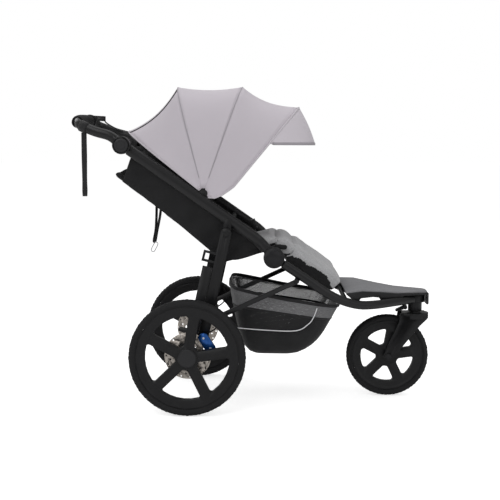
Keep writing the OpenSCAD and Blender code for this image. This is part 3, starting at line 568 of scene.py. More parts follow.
def net_finish(name, colour, hole, pitch):
    """Knitted net that lets light through its holes. It reads the piece's own UV map, in metres."""
    material, tree, shader, place = blank(name, 0.8)
    across = add(tree, "ShaderNodeTexCoord").outputs["UV"]
    net = placed(tree, net_group, {"Vector": across, "Pitch": pitch, "Hole": hole})
    mottle = placed(tree, mottle_group, {"Vector": place, "Patch": 11.0, "Fleck": 700.0})
    feed(tree, shader, {
        "Base Color": tinted(tree, mottle["Flecks"], colour, 0.7, 1.4), "Alpha": net["Yarn"],
        "Roughness": spread(tree, mottle["Patches"], 0, 1, 0.7, 0.9), "Sheen Weight": 0.2,
        "Normal": relief_of(tree, net["Height"], 0.5, 0.6 * MM)})
    return material


canopy_cloth = cloth_finish("canopy_cloth", (0.645, 0.60, 0.65), pitch=0.0009, flecks=0.05, sheen=0.15,
                            relief=0.25)
visor_cloth = cloth_finish("visor_cloth", (0.70, 0.655, 0.705), pitch=0.0009, flecks=0.05, sheen=0.15,
                           relief=0.25)
canopy_binding = cloth_finish("canopy_binding", (0.66, 0.62, 0.665), pitch=0.0012, flecks=0.08, relief=0.5)
seam_thread = cloth_finish("seam_thread", (0.42, 0.395, 0.43), pitch=0.0008, flecks=0.12, relief=0.5)
seat_grey = cloth_finish("seat_grey", (0.52, 0.52, 0.53), pitch=0.0016, flecks=0.3, sheen=0.3, relief=0.6)
seat_black = cloth_finish("seat_black", (0.009, 0.009, 0.010), pitch=0.0013, flecks=0.3, roughness=0.62,
                          sheen=0.2)
strap_pad_cloth = cloth_finish("strap_pad_cloth", (0.016, 0.016, 0.018), pitch=0.0022, flecks=0.35,
                               sheen=0.2)
deck_cloth = moulded_finish("deck_cloth", (0.24, 0.24, 0.25), 0.8, 700.0, 0.5, 0.3)
black_webbing = webbing_finish("black_webbing", (0.012, 0.012, 0.013))
black_thread = cloth_finish("black_thread", (0.03, 0.03, 0.032), pitch=0.0008, flecks=0.1)
basket_net = net_finish("basket_net", (0.014, 0.014, 0.015), 0.13, 0.0046)
basket_band = net_finish("basket_band", (0.19, 0.19, 0.195), 0.22, 0.0032)
reflective = metal_finish("reflective", (0.86, 0.86, 0.88), 0.5, 0.15, relief=0.2)
tube_paint = metal_finish("tube_paint", (0.012, 0.012, 0.013), 0.33, 0.2, relief=0.04, coat=0.25)
cast_paint = moulded_finish("cast_paint", (0.009, 0.009, 0.010), 0.42, 600.0, 0.10, 0.15)
hinge_nylon = moulded_finish("hinge_nylon", (0.010, 0.010, 0.011), 0.48, 1000.0, 0.14, 0.2)
cap_plastic = moulded_finish("cap_plastic", (0.022, 0.022, 0.024), 0.42, 1100.0, 0.10, 0.2)
rim_nylon = moulded_finish("rim_nylon", (0.008, 0.008, 0.009), 0.46, 800.0, 0.12, 0.3)
grip_foam = moulded_finish("grip_foam", (0.007, 0.007, 0.008), 0.78, 500.0, 0.6, 0.2)
tyre_rubber = moulded_finish("tyre_rubber", (0.012, 0.012, 0.013), 0.78, 650.0, 0.35, 0.5)
hose_rubber = moulded_finish("hose_rubber", (0.010, 0.010, 0.011), 0.45, 900.0, 0.1, 0.1)
bright_steel = metal_finish("bright_steel", (0.62, 0.63, 0.65), 0.24)
black_steel = metal_finish("black_steel", (0.02, 0.02, 0.022), 0.35, 0.6, relief=0.06)
rotor_steel = metal_finish("rotor_steel", (0.62, 0.57, 0.52), 0.42, along=(12, 1, 12), relief=0.01)
ring_plate = metal_finish("ring_plate", (0.72, 0.72, 0.74), 0.15)
caliper_paint = metal_finish("caliper_paint", (0.015, 0.11, 0.42), 0.28, 0.7, relief=0.05, coat=0.3)

slot_finish = {
    "frame_tube": tube_paint, "hinge_plastic": hinge_nylon, "cast_metal": cast_paint,
    "steel_pin": black_steel, "seat_fabric_black": seat_black, "seat_fabric_grey": seat_grey,
    "webbing": black_webbing, "canopy_fabric": canopy_cloth, "visor_fabric": visor_cloth,
    "deck_fabric": deck_cloth, "basket_mesh": basket_net, "grip_foam": grip_foam,
    "button_plastic": cap_plastic, "hose_rubber": hose_rubber, "ring_metal": ring_plate,
    "caliper_blue": caliper_paint, "disc_steel": rotor_steel, "tyre_rubber": tyre_rubber,
    "rim_plastic": rim_nylon,
}
slot_of = {part["node"]: part["material_slot"] for part in frame["record"]["subparts"]}


# ------------------------------------------------------------------ repeated things

def geometry_tree(name, sizes):
    """A Geometry Nodes tree with a geometry input and output and named sizes."""
    tree = bpy.data.node_groups.new(name, "GeometryNodeTree")
    tree.interface.new_socket(name="Geometry", in_out="INPUT", socket_type="NodeSocketGeometry")
    for label, kind in sizes:
        tree.interface.new_socket(name=label, in_out="INPUT", socket_type=kind)
    tree.interface.new_socket(name="Geometry", in_out="OUTPUT", socket_type="NodeSocketGeometry")
    return tree, tree.nodes.new("NodeGroupInput").outputs, tree.nodes.new("NodeGroupOutput")


def finished_geometry(tree, given, result, instances):
    """Ends a tree: real mesh, smooth faces and its material."""
    real = add(tree, "GeometryNodeRealizeInstances", {0: instances})
    smooth = add(tree, "GeometryNodeSetShadeSmooth", {"Geometry": real.outputs[0]})
    painted = add(tree, "GeometryNodeSetMaterial",
                  {"Geometry": smooth.outputs[0], "Material": given["Material"]})
    tree.links.new(painted.outputs[0], result.inputs[0])


def stitch_tree():
    """Short rounded stitches along every line of a mesh."""
    tree, given, result = geometry_tree("stitches", [
        ("Spacing", NUMBER), ("Length", NUMBER), ("Thickness", NUMBER), ("Material", "NodeSocketMaterial")])
    curve = add(tree, "GeometryNodeMeshToCurve", {0: given["Geometry"]})
    points = add(tree, "GeometryNodeCurveToPoints", {"Curve": curve.outputs[0]}, mode="LENGTH")
    tree.links.new(given["Spacing"], points.inputs["Length"])
    bead = add(tree, "GeometryNodeMeshIcoSphere", {"Radius": 0.5, "Subdivisions": 1})
    size = add(tree, "ShaderNodeCombineXYZ", {
        "X": given["Thickness"], "Y": given["Thickness"], "Z": given["Length"]})
    beads = add(tree, "GeometryNodeInstanceOnPoints", {
        "Points": points.outputs["Points"], "Instance": bead.outputs[0],
        "Rotation": points.outputs["Rotation"], "Scale": size.outputs[0]})
    finished_geometry(tree, given, result, beads.outputs[0])
    return tree


def ring_tree():
    """Copies of a shape round a circle about the Y axis, each turned with the circle."""
    tree, given, result = geometry_tree("ring", [
        ("Shape", "NodeSocketObject"), ("Count", "NodeSocketInt"), ("Radius", NUMBER),
        ("Material", "NodeSocketMaterial")])
    circle = add(tree, "GeometryNodeCurvePrimitiveCircle", {"Radius": given["Radius"]}, mode="RADIUS")
    upright = add(tree, "GeometryNodeTransform", {
        "Geometry": circle.outputs[0], "Rotation": (math.radians(90), 0, 0)})
    points = add(tree, "GeometryNodeCurveToPoints", {
        "Curve": upright.outputs[0], "Count": given["Count"]}, mode="COUNT")
    shape = add(tree, "GeometryNodeObjectInfo", {"Object": given["Shape"]})
    copies = add(tree, "GeometryNodeInstanceOnPoints", {
        "Points": points.outputs["Points"], "Instance": shape.outputs["Geometry"],
        "Rotation": points.outputs["Rotation"]})
    finished_geometry(tree, given, result, copies.outputs[0])
    return tree


stitches = stitch_tree()
ring = ring_tree()


def run_tree(piece, tree, values):
    """Runs a tree on a piece with its named inputs, and keeps the plain mesh."""
    modifier = piece.modifiers.new("repeat", "NODES")
    modifier.node_group = tree
    for socket in tree.interface.items_tree:
        if socket.in_out == "INPUT" and socket.name in values:
            modifier[socket.identifier] = values[socket.name]
    return settle(piece)


def sewn(name, lines, body, thread, spacing=0.0048, length=0.0034, thickness=0.0009):
    """One piece of stitches along several lines."""
    points = [p for line in lines for p in line]
    edges, start = [], 0
    for line in lines:
        edges += [(start + i, start + i + 1) for i in range(len(line) - 1)]
        start += len(line)
    mesh = bpy.data.meshes.new(name)
    mesh.from_pydata([tuple(p) for p in points], edges, [])
    piece = run_tree(link_mesh(name, mesh), stitches, {
        "Spacing": spacing, "Length": length, "Thickness": thickness, "Material": thread})
    return finish_piece(piece, body, thread)


def ringed(name, shape, count, radius, centre, material):
    """A piece made of copies of a shape round an axle."""
    piece = run_tree(link_mesh(name, bpy.data.meshes.new(name)), ring, {
        "Shape": shape, "Count": count, "Radius": radius, "Material": material})
    piece.data.transform(Matrix.Translation(centre))
    return piece


def block(size, chamfer=0.0):
    """A small block to repeat, with its top face drawn in by the chamfer."""
    x, y, z = (s / 2 for s in size)
    rows = [(-z, 0.0), (z - chamfer, 0.0), (z, chamfer)] if chamfer else [(-z, 0.0), (z, 0.0)]
    points = [Vector((sx * (x - d), sy * (y - d), h)) for h, d in rows
              for sx, sy in ((-1, -1), (1, -1), (1, 1), (-1, 1))]
    faces = [(3, 2, 1, 0), tuple(range(len(points) - 4, len(points)))]
    for r in range(len(rows) - 1):
        faces += [(r * 4 + k, r * 4 + (k + 1) % 4, r * 4 + 4 + (k + 1) % 4, r * 4 + 4 + k) for k in range(4)]
    return mesh_from("block", points, faces, rounded=False)


# ------------------------------------------------------------------ CAD parts with rounded edges

def cad_copy(name, node):
    """A copy of a CAD node's mesh with its loose triangles merged into whole faces."""
    def merge(shape):
        bmesh.ops.remove_doubles(shape, verts=shape.verts, dist=0.02 * MM)
        bmesh.ops.dissolve_limit(shape, angle_limit=math.radians(0.4), verts=shape.verts,
                                 edges=shape.edges)
    mesh = bpy.data.meshes.new(name)
    reshape(nodes[node].data, merge, mesh)
    return link_mesh(name, mesh)


def refined(node, radius=0.0, segments=2, sharp=38):
    """The CAD part itself with its edges rounded and its curves smooth."""
    piece = cad_copy(node + "_finished", node)
    if radius:
        edge = piece.modifiers.new("edges", "BEVEL")
        edge.width = radius
        edge.segments = segments
        edge.limit_method = "ANGLE"
        edge.angle_limit = math.radians(sharp)
        edge.harden_normals = True
        settle(piece)
    piece.data.shade_smooth()
    if not radius:
        piece.data.set_sharp_from_angle(angle=math.radians(sharp))
    slot = slot_of[node]
    return finish_piece(piece, nodes[node]["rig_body"], slot_finish[slot], [node])


# Parts whose corners are moulded or cast round, and the radius of their edges
rounded_parts = {
    "fold_hub_plates": 0.0008, "steering_head": 0.0025, "strut_lugs": 0.0008, "seat_base": 0.0015,
    "footrest_shell": 0.003, "fold_hubs": 0.0025, "handle_sockets": 0.0015, "leg_brackets": 0.0012,
    "canopy_mounts": 0.001,
    "brake_lever_clamp": 0.002, "brake_lever": 0.0018, "harness_buckle": 0.003, "buckle_button": 0.0008,
    "rear_legs": 0.003, "folding_struts": 0.0025, "rear_axle": 0.0008, "brake_calipers": 0.002,
    "parking_pedal": 0.002, "rear_rim_left": 0.0022, "rear_rim_right": 0.0022, "front_rim": 0.0022,
    "fork": 0.002, "swivel_lock": 0.0012, "front_crossbar": 0.0006, "recline_bar": 0.0006,
    "fold_pins": 0.0006, "front_axle": 0.0006, "brake_disc_left": 0.0003, "brake_disc_right": 0.0003,
}
# Bent tubes and hoses, which only need their curves smooth
smooth_parts = [
    "front_tubes", "push_tubes", "handlebar", "canopy_rear_bow", "canopy_mid_bow", "canopy_front_bow",
    "brake_hose", "caliper_hoses",
]
for node, radius in rounded_parts.items():
    refined(node, radius)
for node in smooth_parts:
    refined(node, sharp=50)


# ------------------------------------------------------------------ canopy

CANOPY_SQUARENESS = 0.42
ARCH_ASPECT = 0.56  # a hoop's half width over its height, for equal steps along it
HALF_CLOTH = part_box("canopy_mid_panel")[1].y
BACK_EDGE, REAR_BOW, MID_BOW, FRONT_BOW = range(4)


def edge_of(node, end):
    """Angle in degrees and radius of a canopy panel's first (0) or last (-1) edge in the middle plane."""
    found = []
    for v in nodes[node].data.vertices:
        if abs(v.co.y) < 2 * MM:
            out = v.co - canopy_hub
            found.append((math.degrees(math.atan2(out.z, out.x)), math.hypot(out.x, out.z)))
    limit = sorted(found)[end][0]
    return limit, max(radius for angle, radius in found if abs(angle - limit) < 0.1)


hoops = {
    BACK_EDGE: edge_of("canopy_rear_panel", -1), REAR_BOW: edge_of("canopy_mid_panel", -1),
    MID_BOW: edge_of("canopy_front_panel", -1), FRONT_BOW: edge_of("canopy_front_panel", 0),
}

# The front bow's legs pass this far ahead of the pivot, so the front edge curves in round it
BOW_LEAD = 66 * MM
LOBE_RADIUS = 100 * MM
LOBE_TURN = 60
HUB_RADIUS = 12 * MM


def arch_shares(count):
    """Shares of the half width and of the radius along a hoop, at equal steps from pivot to pivot."""
    fine = []
    for i in range(600):
        a = math.radians(90) * (i / 599) ** 2.2
        fine.append(Vector((math.cos(a) ** CANOPY_SQUARENESS * ARCH_ASPECT,
                            math.sin(a) ** CANOPY_SQUARENESS, 0)))
    half = [(p.x / ARCH_ASPECT, p.y) for p in even_line(fine, count)]
    sides = [(-y, r) for y, r in half] + half[-2::-1]
    return [(y, r) for y, r in sides if r > 0]


def edge_angle(edge, radius):
    """The angle of a hoop's edge at a radius from the pivot."""
    angle = hoops[edge][0]
    if edge != FRONT_BOW:
        return angle
    lean = angle + math.degrees(math.asin(BOW_LEAD / hoops[edge][1]))
    if radius >= LOBE_RADIUS:
        return lean - math.degrees(math.asin(BOW_LEAD / radius))
    start = lean - math.degrees(math.asin(BOW_LEAD / LOBE_RADIUS))
    return start - LOBE_TURN * ((LOBE_RADIUS - radius) / (LOBE_RADIUS - HUB_RADIUS)) ** 1.6


def hoop_point(edge, y_share, r_share, lift=0.0):
    """A point of the canopy's cloth on one of its hoops, lifted off the cloth."""
    radius = max(hoops[edge][1] * r_share, HUB_RADIUS)
    angle = math.radians(edge_angle(edge, radius))
    radius += lift * r_share ** 6
    y = (HALF_CLOTH + lift) * y_share
    return Vector((canopy_hub.x + radius * math.cos(angle), y, canopy_hub.z + radius * math.sin(angle)))


def panel_point(high, low, y_share, r_share, t, sag, lift=0.0):
    """A point of a panel, t of the way from its high hoop to its low one, pulled in between them."""
    p = mix(hoop_point(high, y_share, r_share, lift), hoop_point(low, y_share, r_share, lift), t)
    pull = 1 - sag * 4 * t * (1 - t)
    return Vector((canopy_hub.x + (p.x - canopy_hub.x) * pull, p.y * (1 - 0.25 * sag * 4 * t * (1 - t)),
                   canopy_hub.z + (p.z - canopy_hub.z) * pull))


# Each panel of cloth: its hoops, how far it sags, and the two bodies at its edges
panels = {
    "rear": (BACK_EDGE, REAR_BOW, 0.058, "upper_frame", "canopy_rear"),
    "mid": (REAR_BOW, MID_BOW, 0.028, "canopy_rear", "canopy_mid"),
    "front": (MID_BOW, FRONT_BOW, 0.05, "canopy_mid", "canopy_front"),
}
ARCH = arch_shares(30)
ARCH_TOP = ARCH[len(ARCH) // 2]
PANEL_ROWS = 14
ZIP_AT = 0.972


def bend_by_share(piece, start, end):
    """Reads a panel's shares of its bend between two bodies, and bakes its transform into its mesh."""
    share = np.zeros(len(piece.data.vertices), np.float32)
    piece.data.attributes["share"].data.foreach_get("value", share)
    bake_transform(piece)


def canopy_panel(name, high, low, sag):
    """One curved sheet between two hoops."""
    rows = [[panel_point(high, low, y, r, i / PANEL_ROWS, sag) for y, r in ARCH]
            for i in range(PANEL_ROWS + 1)]
    sheet = grid("canopy_" + name + "_cloth", rows)
    give_share(sheet, [i / PANEL_ROWS for i in range(PANEL_ROWS + 1) for _ in ARCH])
    thicken(sheet, 1.4 * MM)
    finish_piece(sheet, None, canopy_cloth, ["canopy_" + name + "_panel"])
    start, end = hoop_point(high, *ARCH_TOP), hoop_point(low, *ARCH_TOP)
    bend_by_share(sheet, start, end)


for name, (high, low, sag, body_a, body_b) in panels.items():
    canopy_panel(name, high, low, sag)


def hoop_line(edge, lift, first=0, last=None):
    return [hoop_point(edge, y, r, lift) for y, r in ARCH[first:last]]


def welt(name, line, body, thick, material):
    """A round piping along a line of the canopy."""
    return finish_piece(swept(name, line, thick, thick, sides=10), body, material)


welt("rear_bow_seam", hoop_line(REAR_BOW, 0.2 * MM, 2, -2), "canopy_rear", 2.8 * MM, seam_thread)
welt("mid_bow_seam", hoop_line(MID_BOW, 0.2 * MM, 2, -2), "canopy_mid", 2.8 * MM, seam_thread)
welt("front_hem", hoop_line(FRONT_BOW, 0.4 * MM), "canopy_front", 6.5 * MM, canopy_binding)
welt("back_hem", hoop_line(BACK_EDGE, 0.4 * MM), "upper_frame", 5.0 * MM, canopy_binding)


def zip_line(label, side):
    """The zip of the rear panel's opening, along the roof's edge on one side."""
    below_roof = [(y, r) for y, r in ARCH if r < ZIP_AT and y * side > 0]
    y, r = max(below_roof, key=lambda share: share[1])
    sag = panels["rear"][2]
    count = 24
    line = [panel_point(BACK_EDGE, REAR_BOW, y, r, i / count, sag, 0.7 * MM) for i in range(count + 1)]
    tape = swept("rear_zip_" + label, line, 5 * MM, 6 * MM, sides=8)
    give_share(tape, [i / count for i in range(count + 1) for _ in range(8)])
    finish_piece(tape, None, black_thread)
    bend_by_share(tape, hoop_point(BACK_EDGE, *ARCH_TOP),
                  hoop_point(REAR_BOW, *ARCH_TOP))


for label, side in SIDES.items():
    zip_line(label, side)


# A row of stitches just behind each bow: its name, its panel, and how far down the panel it runs
for name, panel, down in (("rear_bow_stitches", "rear", 0.975), ("mid_bow_stitches", "mid", 0.97),
                          ("front_hem_stitches", "front", 0.93)):
    high, low, sag, _, body = panels[panel]
    line = [panel_point(high, low, y, r, down, sag, 0.9 * MM) for y, r in ARCH[3:-3]]
    sewn(name, [line], body, seam_thread)


# ------------------------------------------------------------------ sun visor

VISOR_FIRST = 0.60
VISOR_HEM_BACK = flat(226, 168)
VISOR_HEM_FRONT = flat(387, 167)
VISOR_ROWS = 10


def visor_point(y, r, t, lift=0.0):
    """A point of the visor, t of the way from the front bow down to its level hem."""
    top = hoop_point(FRONT_BOW, y, r, 1.2 * MM + lift)
    forward = (r - VISOR_FIRST) / (1 - VISOR_FIRST)
    low = canopy_hub + mix(VISOR_HEM_BACK, VISOR_HEM_FRONT, forward)
    low.y = top.y * 1.005
    point = mix(top, low, t)
    point.x += 5 * MM * math.sin(math.pi * t) * forward
    return point


def sun_visor():
    arch = [(y, r) for y, r in ARCH if r >= VISOR_FIRST]
    rows = [[visor_point(y, r, i / VISOR_ROWS) for y, r in arch] for i in range(VISOR_ROWS + 1)]
    cloth = painted(thicken(grid("visor_cloth", rows), 1.4 * MM), visor_cloth)
    hem = painted(swept("hem", rows[-1], 3.2 * MM, 10 * MM, sides=10), seam_thread)
    visor = joined("sun_visor_cloth", [cloth, hem])
    finish_piece(visor, None, visor_cloth, ["sun_visor"])
    top = hoop_point(FRONT_BOW, 0, 1)
    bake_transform(visor)


sun_visor()


# ------------------------------------------------------------------ padded pieces

def moved_along_normals(piece, distance):
    """Moves every point along its normal, by a number or by distance(point)."""
    mesh = piece.data
    normals = [Vector(v.vector) for v in mesh.vertex_normals]
    for v, normal in zip(mesh.vertices, normals):
        v.co += normal * (distance(v.co) if callable(distance) else distance)
    mesh.update()


def wrinkled(piece, height, size, stretch=(1, 1, 1)):
    """Adds soft folds to a cloth surface."""
    def fold(p):
        place = Vector([c * s / size for c, s in zip(p, stretch)])
        return height * (noise.noise(place) + 0.4 * noise.noise(place * 2.7))
    moved_along_normals(piece, fold)


CLOTH_FRAMES = 20


def puffed(name, sources, inset, voxel, cap):
    """A padded shape swollen out of CAD blocks by cloth simulation, by no more than cap."""
    pad = joined(name, [cad_copy("part", node) for node in sources])
    even = pad.modifiers.new("even", "REMESH")
    even.mode = "VOXEL"
    even.voxel_size = voxel
    settle(pad)
    soften = pad.modifiers.new("soften", "SMOOTH")
    soften.factor = 0.5
    soften.iterations = 5
    settle(pad)
    moved_along_normals(pad, -inset)
    before = [v.co.copy() for v in pad.data.vertices]
    cloth = pad.modifiers.new("cloth", "CLOTH")
    cloth.settings.quality = 4
    cloth.settings.use_pressure = True
    cloth.settings.uniform_pressure_force = 4.0
    cloth.settings.effector_weights.gravity = 0
    for moment in range(1, CLOTH_FRAMES + 1):
        bpy.context.scene.frame_set(moment)
    settle(pad)
    bpy.context.scene.frame_set(1)
    for v, start in zip(pad.data.vertices, before):
        step = v.co - start
        if step.length > cap:
            v.co = start + step * (cap / step.length)
    subdivide(pad)
    pad.data.shade_smooth()
    return pad


def two_tone(pad, up, limit):
    """Grey cloth on the faces that look up, and black on the rest."""
    painted(pad, seat_grey).data.materials.append(seat_black)
    for face in pad.data.polygons:
        face.material_index = 0 if face.normal.dot(up) > limit else 1


LEG_REST_LEAN = math.radians(34)
leg_rest_up = Vector((math.sin(LEG_REST_LEAN), 0, math.cos(LEG_REST_LEAN)))
UNDERSIDE_DROP = 9 * MM

backrest = puffed("backrest_padding", ["backrest_cushion"], 4 * MM, 6 * MM, 8 * MM)
wrinkled(backrest, 2.2 * MM, 0.07, (1, 0.5, 1))
finish_piece(backrest, "backrest", seat_black, ["backrest_cushion"])

backrest_back = puffed("backrest_back_cover", ["backrest_board"], 1 * MM, 5 * MM, 5 * MM)
wrinkled(backrest_back, 2.5 * MM, 0.05, (1, 0.4, 1))
finish_piece(backrest_back, "backrest", seat_black, ["backrest_board"])

seat_pad = puffed("seat_padding", ["seat_cushion"], 4 * MM, 6 * MM, 8 * MM)
wrinkled(seat_pad, 1.5 * MM, 0.06)
two_tone(seat_pad, Vector((-0.2, 0, 1)), -0.5)
finish_piece(seat_pad, "front_frame", seat_grey, ["seat_cushion"])

leg_pad = puffed("leg_rest_padding", ["leg_rest"], 4 * MM, 6 * MM, 7 * MM)
# Its underside hangs lower than the CAD block, below a line through its middle
leg_rest_middle = leg_rod + flat(96, -72)
for v in leg_pad.data.vertices:
    depth = (leg_rest_middle - v.co).dot(leg_rest_up)
    v.co -= leg_rest_up * UNDERSIDE_DROP * min(1, max(0, depth / (14 * MM)))
wrinkled(leg_pad, 1.5 * MM, 0.05)
two_tone(leg_pad, leg_rest_up, -0.1)
finish_piece(leg_pad, "leg_rest", seat_grey, ["leg_rest"])

# The leg rest's cloth carries on round its rod to meet the seat
knee_line = [leg_rod + Vector((0, y * MM, 0)) for y in np.linspace(-180, 180, 31)]
knee = swept("knee_roll", knee_line, 78 * MM, 56 * MM, across=Vector((0.83, 0, -0.56)), sides=32)
subdivide(knee)
wrinkled(knee, 1.5 * MM, 0.05)
two_tone(knee, leg_rest_up, -0.1)
finish_piece(knee, "leg_rest", seat_grey)

shoulder_pads = puffed("shoulder_pads", ["shoulder_straps"], 1 * MM, 4 * MM, 4 * MM)
finish_piece(shoulder_pads, "backrest", strap_pad_cloth, ["shoulder_straps"])


# ------------------------------------------------------------------ side cloth of the seat

SIDE_POINTS, SIDE_ROWS = 64, 18


def side_cloth(name, side):
    """Loose cloth between a push tube and the backrest."""
    top = even_line(smooth_line([handle_hub + flat(26, -40), handle_hub + flat(160, -130),
                                 fold_hub + flat(-219, 158), fold_hub + flat(-94, 74),
                                 fold_hub + flat(-56, 46)], 8), SIDE_POINTS)
    low = even_line(smooth_line([back_hinge + flat(-330, 240), back_hinge + flat(-254, 184),
                                 back_hinge + flat(-144, 98), back_hinge + flat(-44, 14),
                                 back_hinge + flat(0, -20), back_hinge + flat(60, -30),
                                 back_hinge + flat(142, -6)], 8), SIDE_POINTS)
    rows = []
    for i in range(SIDE_ROWS + 1):
        t = i / SIDE_ROWS
        slack = math.sin(math.pi * t)
        row = []
        for k, (a, b) in enumerate(zip(top, low)):
            fold = noise.noise(Vector((k * 0.16, t * 1.6, side))) + 0.8 * math.sin(k * 0.62 + 6 * t)
            point = mix(a, b, t)
            point.y = side * (212 - 13 * t - 4 * slack + 5.5 * slack * fold) * MM
            row.append(point)
        rows.append(row)
    sheet = thicken(grid(name, rows), 1.6 * MM)
    finish_piece(sheet, None, seat_black, ["side_fabric"])
    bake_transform(sheet)


for label, side in SIDES.items():
    side_cloth("side_cloth_" + label, side)


# ------------------------------------------------------------------ straps

def box_middle(node):
    low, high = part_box(node)
    return (Vector(low) + Vector(high)) / 2


def free_strap(name, line, width, thickness, across, body, node):
    strap = swept(name, line, width, thickness, across=across, sides=12, squareness=0.5)
    finish_piece(strap, body, black_webbing, [node])


# The wrist strap's route from the collar, forwards, across and up, in millimetres
wrist_top = box_middle("wrist_strap")
wrist_top.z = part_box("wrist_strap")[1].z
wrist_route = [(0, -6, 0), (0, -7, -30), (0, -8, -80), (1, -10, -130), (2, -14, -165), (1, -12, -196),
               (0, 0, -214), (-1, 12, -196), (-2, 14, -165), (-1, 10, -130), (0, 8, -80), (0, 7, -30),
               (0, 6, 0)]
free_strap("wrist_loop", smooth_line([wrist_top + Vector(p) * MM for p in wrist_route], 3), 16 * MM, 2 * MM,
           Vector((1, 0, 0)), "handlebar", "wrist_strap")

# The recline strap comes down, through the ring and back up
recline_top = Vector((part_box("recline_strap")[1].x - 6 * MM, box_middle("recline_strap").y,
                      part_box("recline_strap")[1].z))
ring_middle = box_middle("recline_ring")
recline_route = [recline_top + flat(-8, 0), recline_top + flat(-9, -40), recline_top + flat(-12, -84),
                 ring_middle + flat(-2, 24), ring_middle + flat(1, 17), ring_middle + flat(4, 24),
                 recline_top + flat(-6, -84), recline_top + flat(3, -40), recline_top + flat(8, 0)]


def pull_ring():
    """A long ring of steel wire, leaning a little forwards."""
    lean = Matrix.Rotation(math.radians(27), 3, "Y")
    line = []
    for k in range(41):
        a = 2 * math.pi * k / 40
        line.append(ring_middle + lean @ flat(squared(math.cos(a), 0.6) * 7, squared(math.sin(a), 0.6) * 18))
    wire = swept("pull_ring", line, 3 * MM, 3 * MM, sides=10, caps=False)
    return finish_piece(wire, "backrest", ring_plate, ["recline_ring"])


def crotch_strap():
    low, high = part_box("crotch_strap")
    foot, head = Vector((high.x, 0, low.z)), Vector((low.x, 0, high.z))
    line = smooth_line([foot + flat(-2, -4), foot + flat(-5, 8), head + flat(3, -4), head + flat(0, 8)], 4)
    strap = swept("crotch_webbing", line, 32 * MM, 2.4 * MM, squareness=0.5)
    finish_piece(strap, "front_frame", black_webbing, ["crotch_strap"])


ring_piece = pull_ring()
free_strap("recline_loop", smooth_line(recline_route, 4), 13 * MM, 1.8 * MM, Vector((0.6, 0.8, 0)),
           "backrest", "recline_strap")
crotch_strap()
refined("strap_collar", 0.0012)
refined("handle_grip", sharp=60)
refined("footrest_mat", 0.0025)


# ------------------------------------------------------------------ basket

RIM, BAND_LEVEL = 0, 2
# Back and front of the basket at each level from the rim down, from the fold hub, and half its width
basket_levels = [
    ((-156, -106), (234, -178), 203), ((-151, -138), (222, -198), 203), ((-146, -172), (208, -224), 202),
    ((-138, -215), (192, -252), 200), ((-128, -258), (174, -284), 196), ((-114, -308), (144, -320), 188),
    ((-92, -346), (94, -349), 172), ((-60, -354), (60, -354), 130), ((-24, -355), (30, -355), 70),
]
LOOP_POINTS = 96
CORNER = 0.34


def basket_loop(level):
    """One level ring of the basket, a rectangle with round corners."""
    back, front, half = basket_levels[level]
    low, high = fold_hub + flat(*back), fold_hub + flat(*front)
    loop = []
    for k in range(LOOP_POINTS):
        a = 2 * math.pi * k / LOOP_POINTS
        x, y = squared(math.cos(a), CORNER), squared(math.sin(a), CORNER)
        point = mix(low, high, 0.5 + 0.5 * x)
        ripple = noise.noise(Vector((k * 0.35, level * 0.8, 0)))
        point.y = y * (half - 2.5 + 1.6 * ripple) * MM
        if level == RIM:
            point.z -= 7 * MM * (1 - abs(x)) ** 0.5 * abs(y)
        loop.append(point)
    return loop


def basket_cloth():
    """The hanging net with a more open band round its top."""
    rows = [basket_loop(level) for level in range(len(basket_levels))]
    bag = grid("basket_net_bag", rows, closed=True)
    bag.data.materials.append(basket_net)
    bag.data.materials.append(basket_band)
    for face in bag.data.polygons:
        face.material_index = 1 if face.index < BAND_LEVEL * LOOP_POINTS else 0
    rim_loop = rows[RIM] + rows[RIM][:1]
    around = np.cumsum([0] + [(b - a).length for a, b in zip(rim_loop, rim_loop[1:])])
    down = np.cumsum([0] + [(b[0] - a[0]).length for a, b in zip(rows, rows[1:])])
    flat_map = bag.data.uv_layers.new(name="net")
    for face in bag.data.polygons:
        row, column = divmod(face.index, LOOP_POINTS)
        for corner, (dr, dc) in zip(face.loop_indices, ((0, 0), (0, 1), (1, 1), (1, 0))):
            flat_map.data[corner].uv = (around[column + dc], down[row + dr])
    close_holes(bag, below=rows[-1][0].z + 1 * MM)
    thicken(bag, 1.2 * MM)
    subdivide(bag)
    finish_piece(bag, "front_frame", basket_net, ["basket"])
    crumples(bag)
    return rows


def crumples(piece):
    """Gives a piece of the basket its own copy of its mesh. (The real basket's back folds up forwards, out
    of the backrest's way, as the frame folds.)
    """
    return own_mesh(piece)


basket_rows = basket_cloth()
rim_line = basket_rows[RIM] + basket_rows[RIM][:1]
rim = swept("basket_rim", rim_line, 5 * MM, 12 * MM, sides=10, caps=False)
crumples(finish_piece(rim, "front_frame", black_webbing))


# The pale piping along the basket's side, forwards and up from the fold hub
piping_route = [(-130, -249), (-30, -257), (77, -259), (120, -236), (138, -212), (150, -180)]


def basket_tapes():
    """Bound edge of the open band, and pale piping along each side."""
    parts = []
    band = basket_rows[BAND_LEVEL] + basket_rows[BAND_LEVEL][:1]
    parts.append(painted(swept("band", band, 3 * MM, 7 * MM, sides=8, caps=False), black_webbing))
    for side in SIDES.values():
        line = smooth_line([fold_hub + flat(x, z, side * 202) for x, z in piping_route], 5)
        parts.append(painted(swept("piping", line, 3.4 * MM, 3.4 * MM, sides=8), reflective))
    crumples(finish_piece(joined("basket_piping", parts), "front_frame", reflective))


basket_tapes()


# ------------------------------------------------------------------ wheels

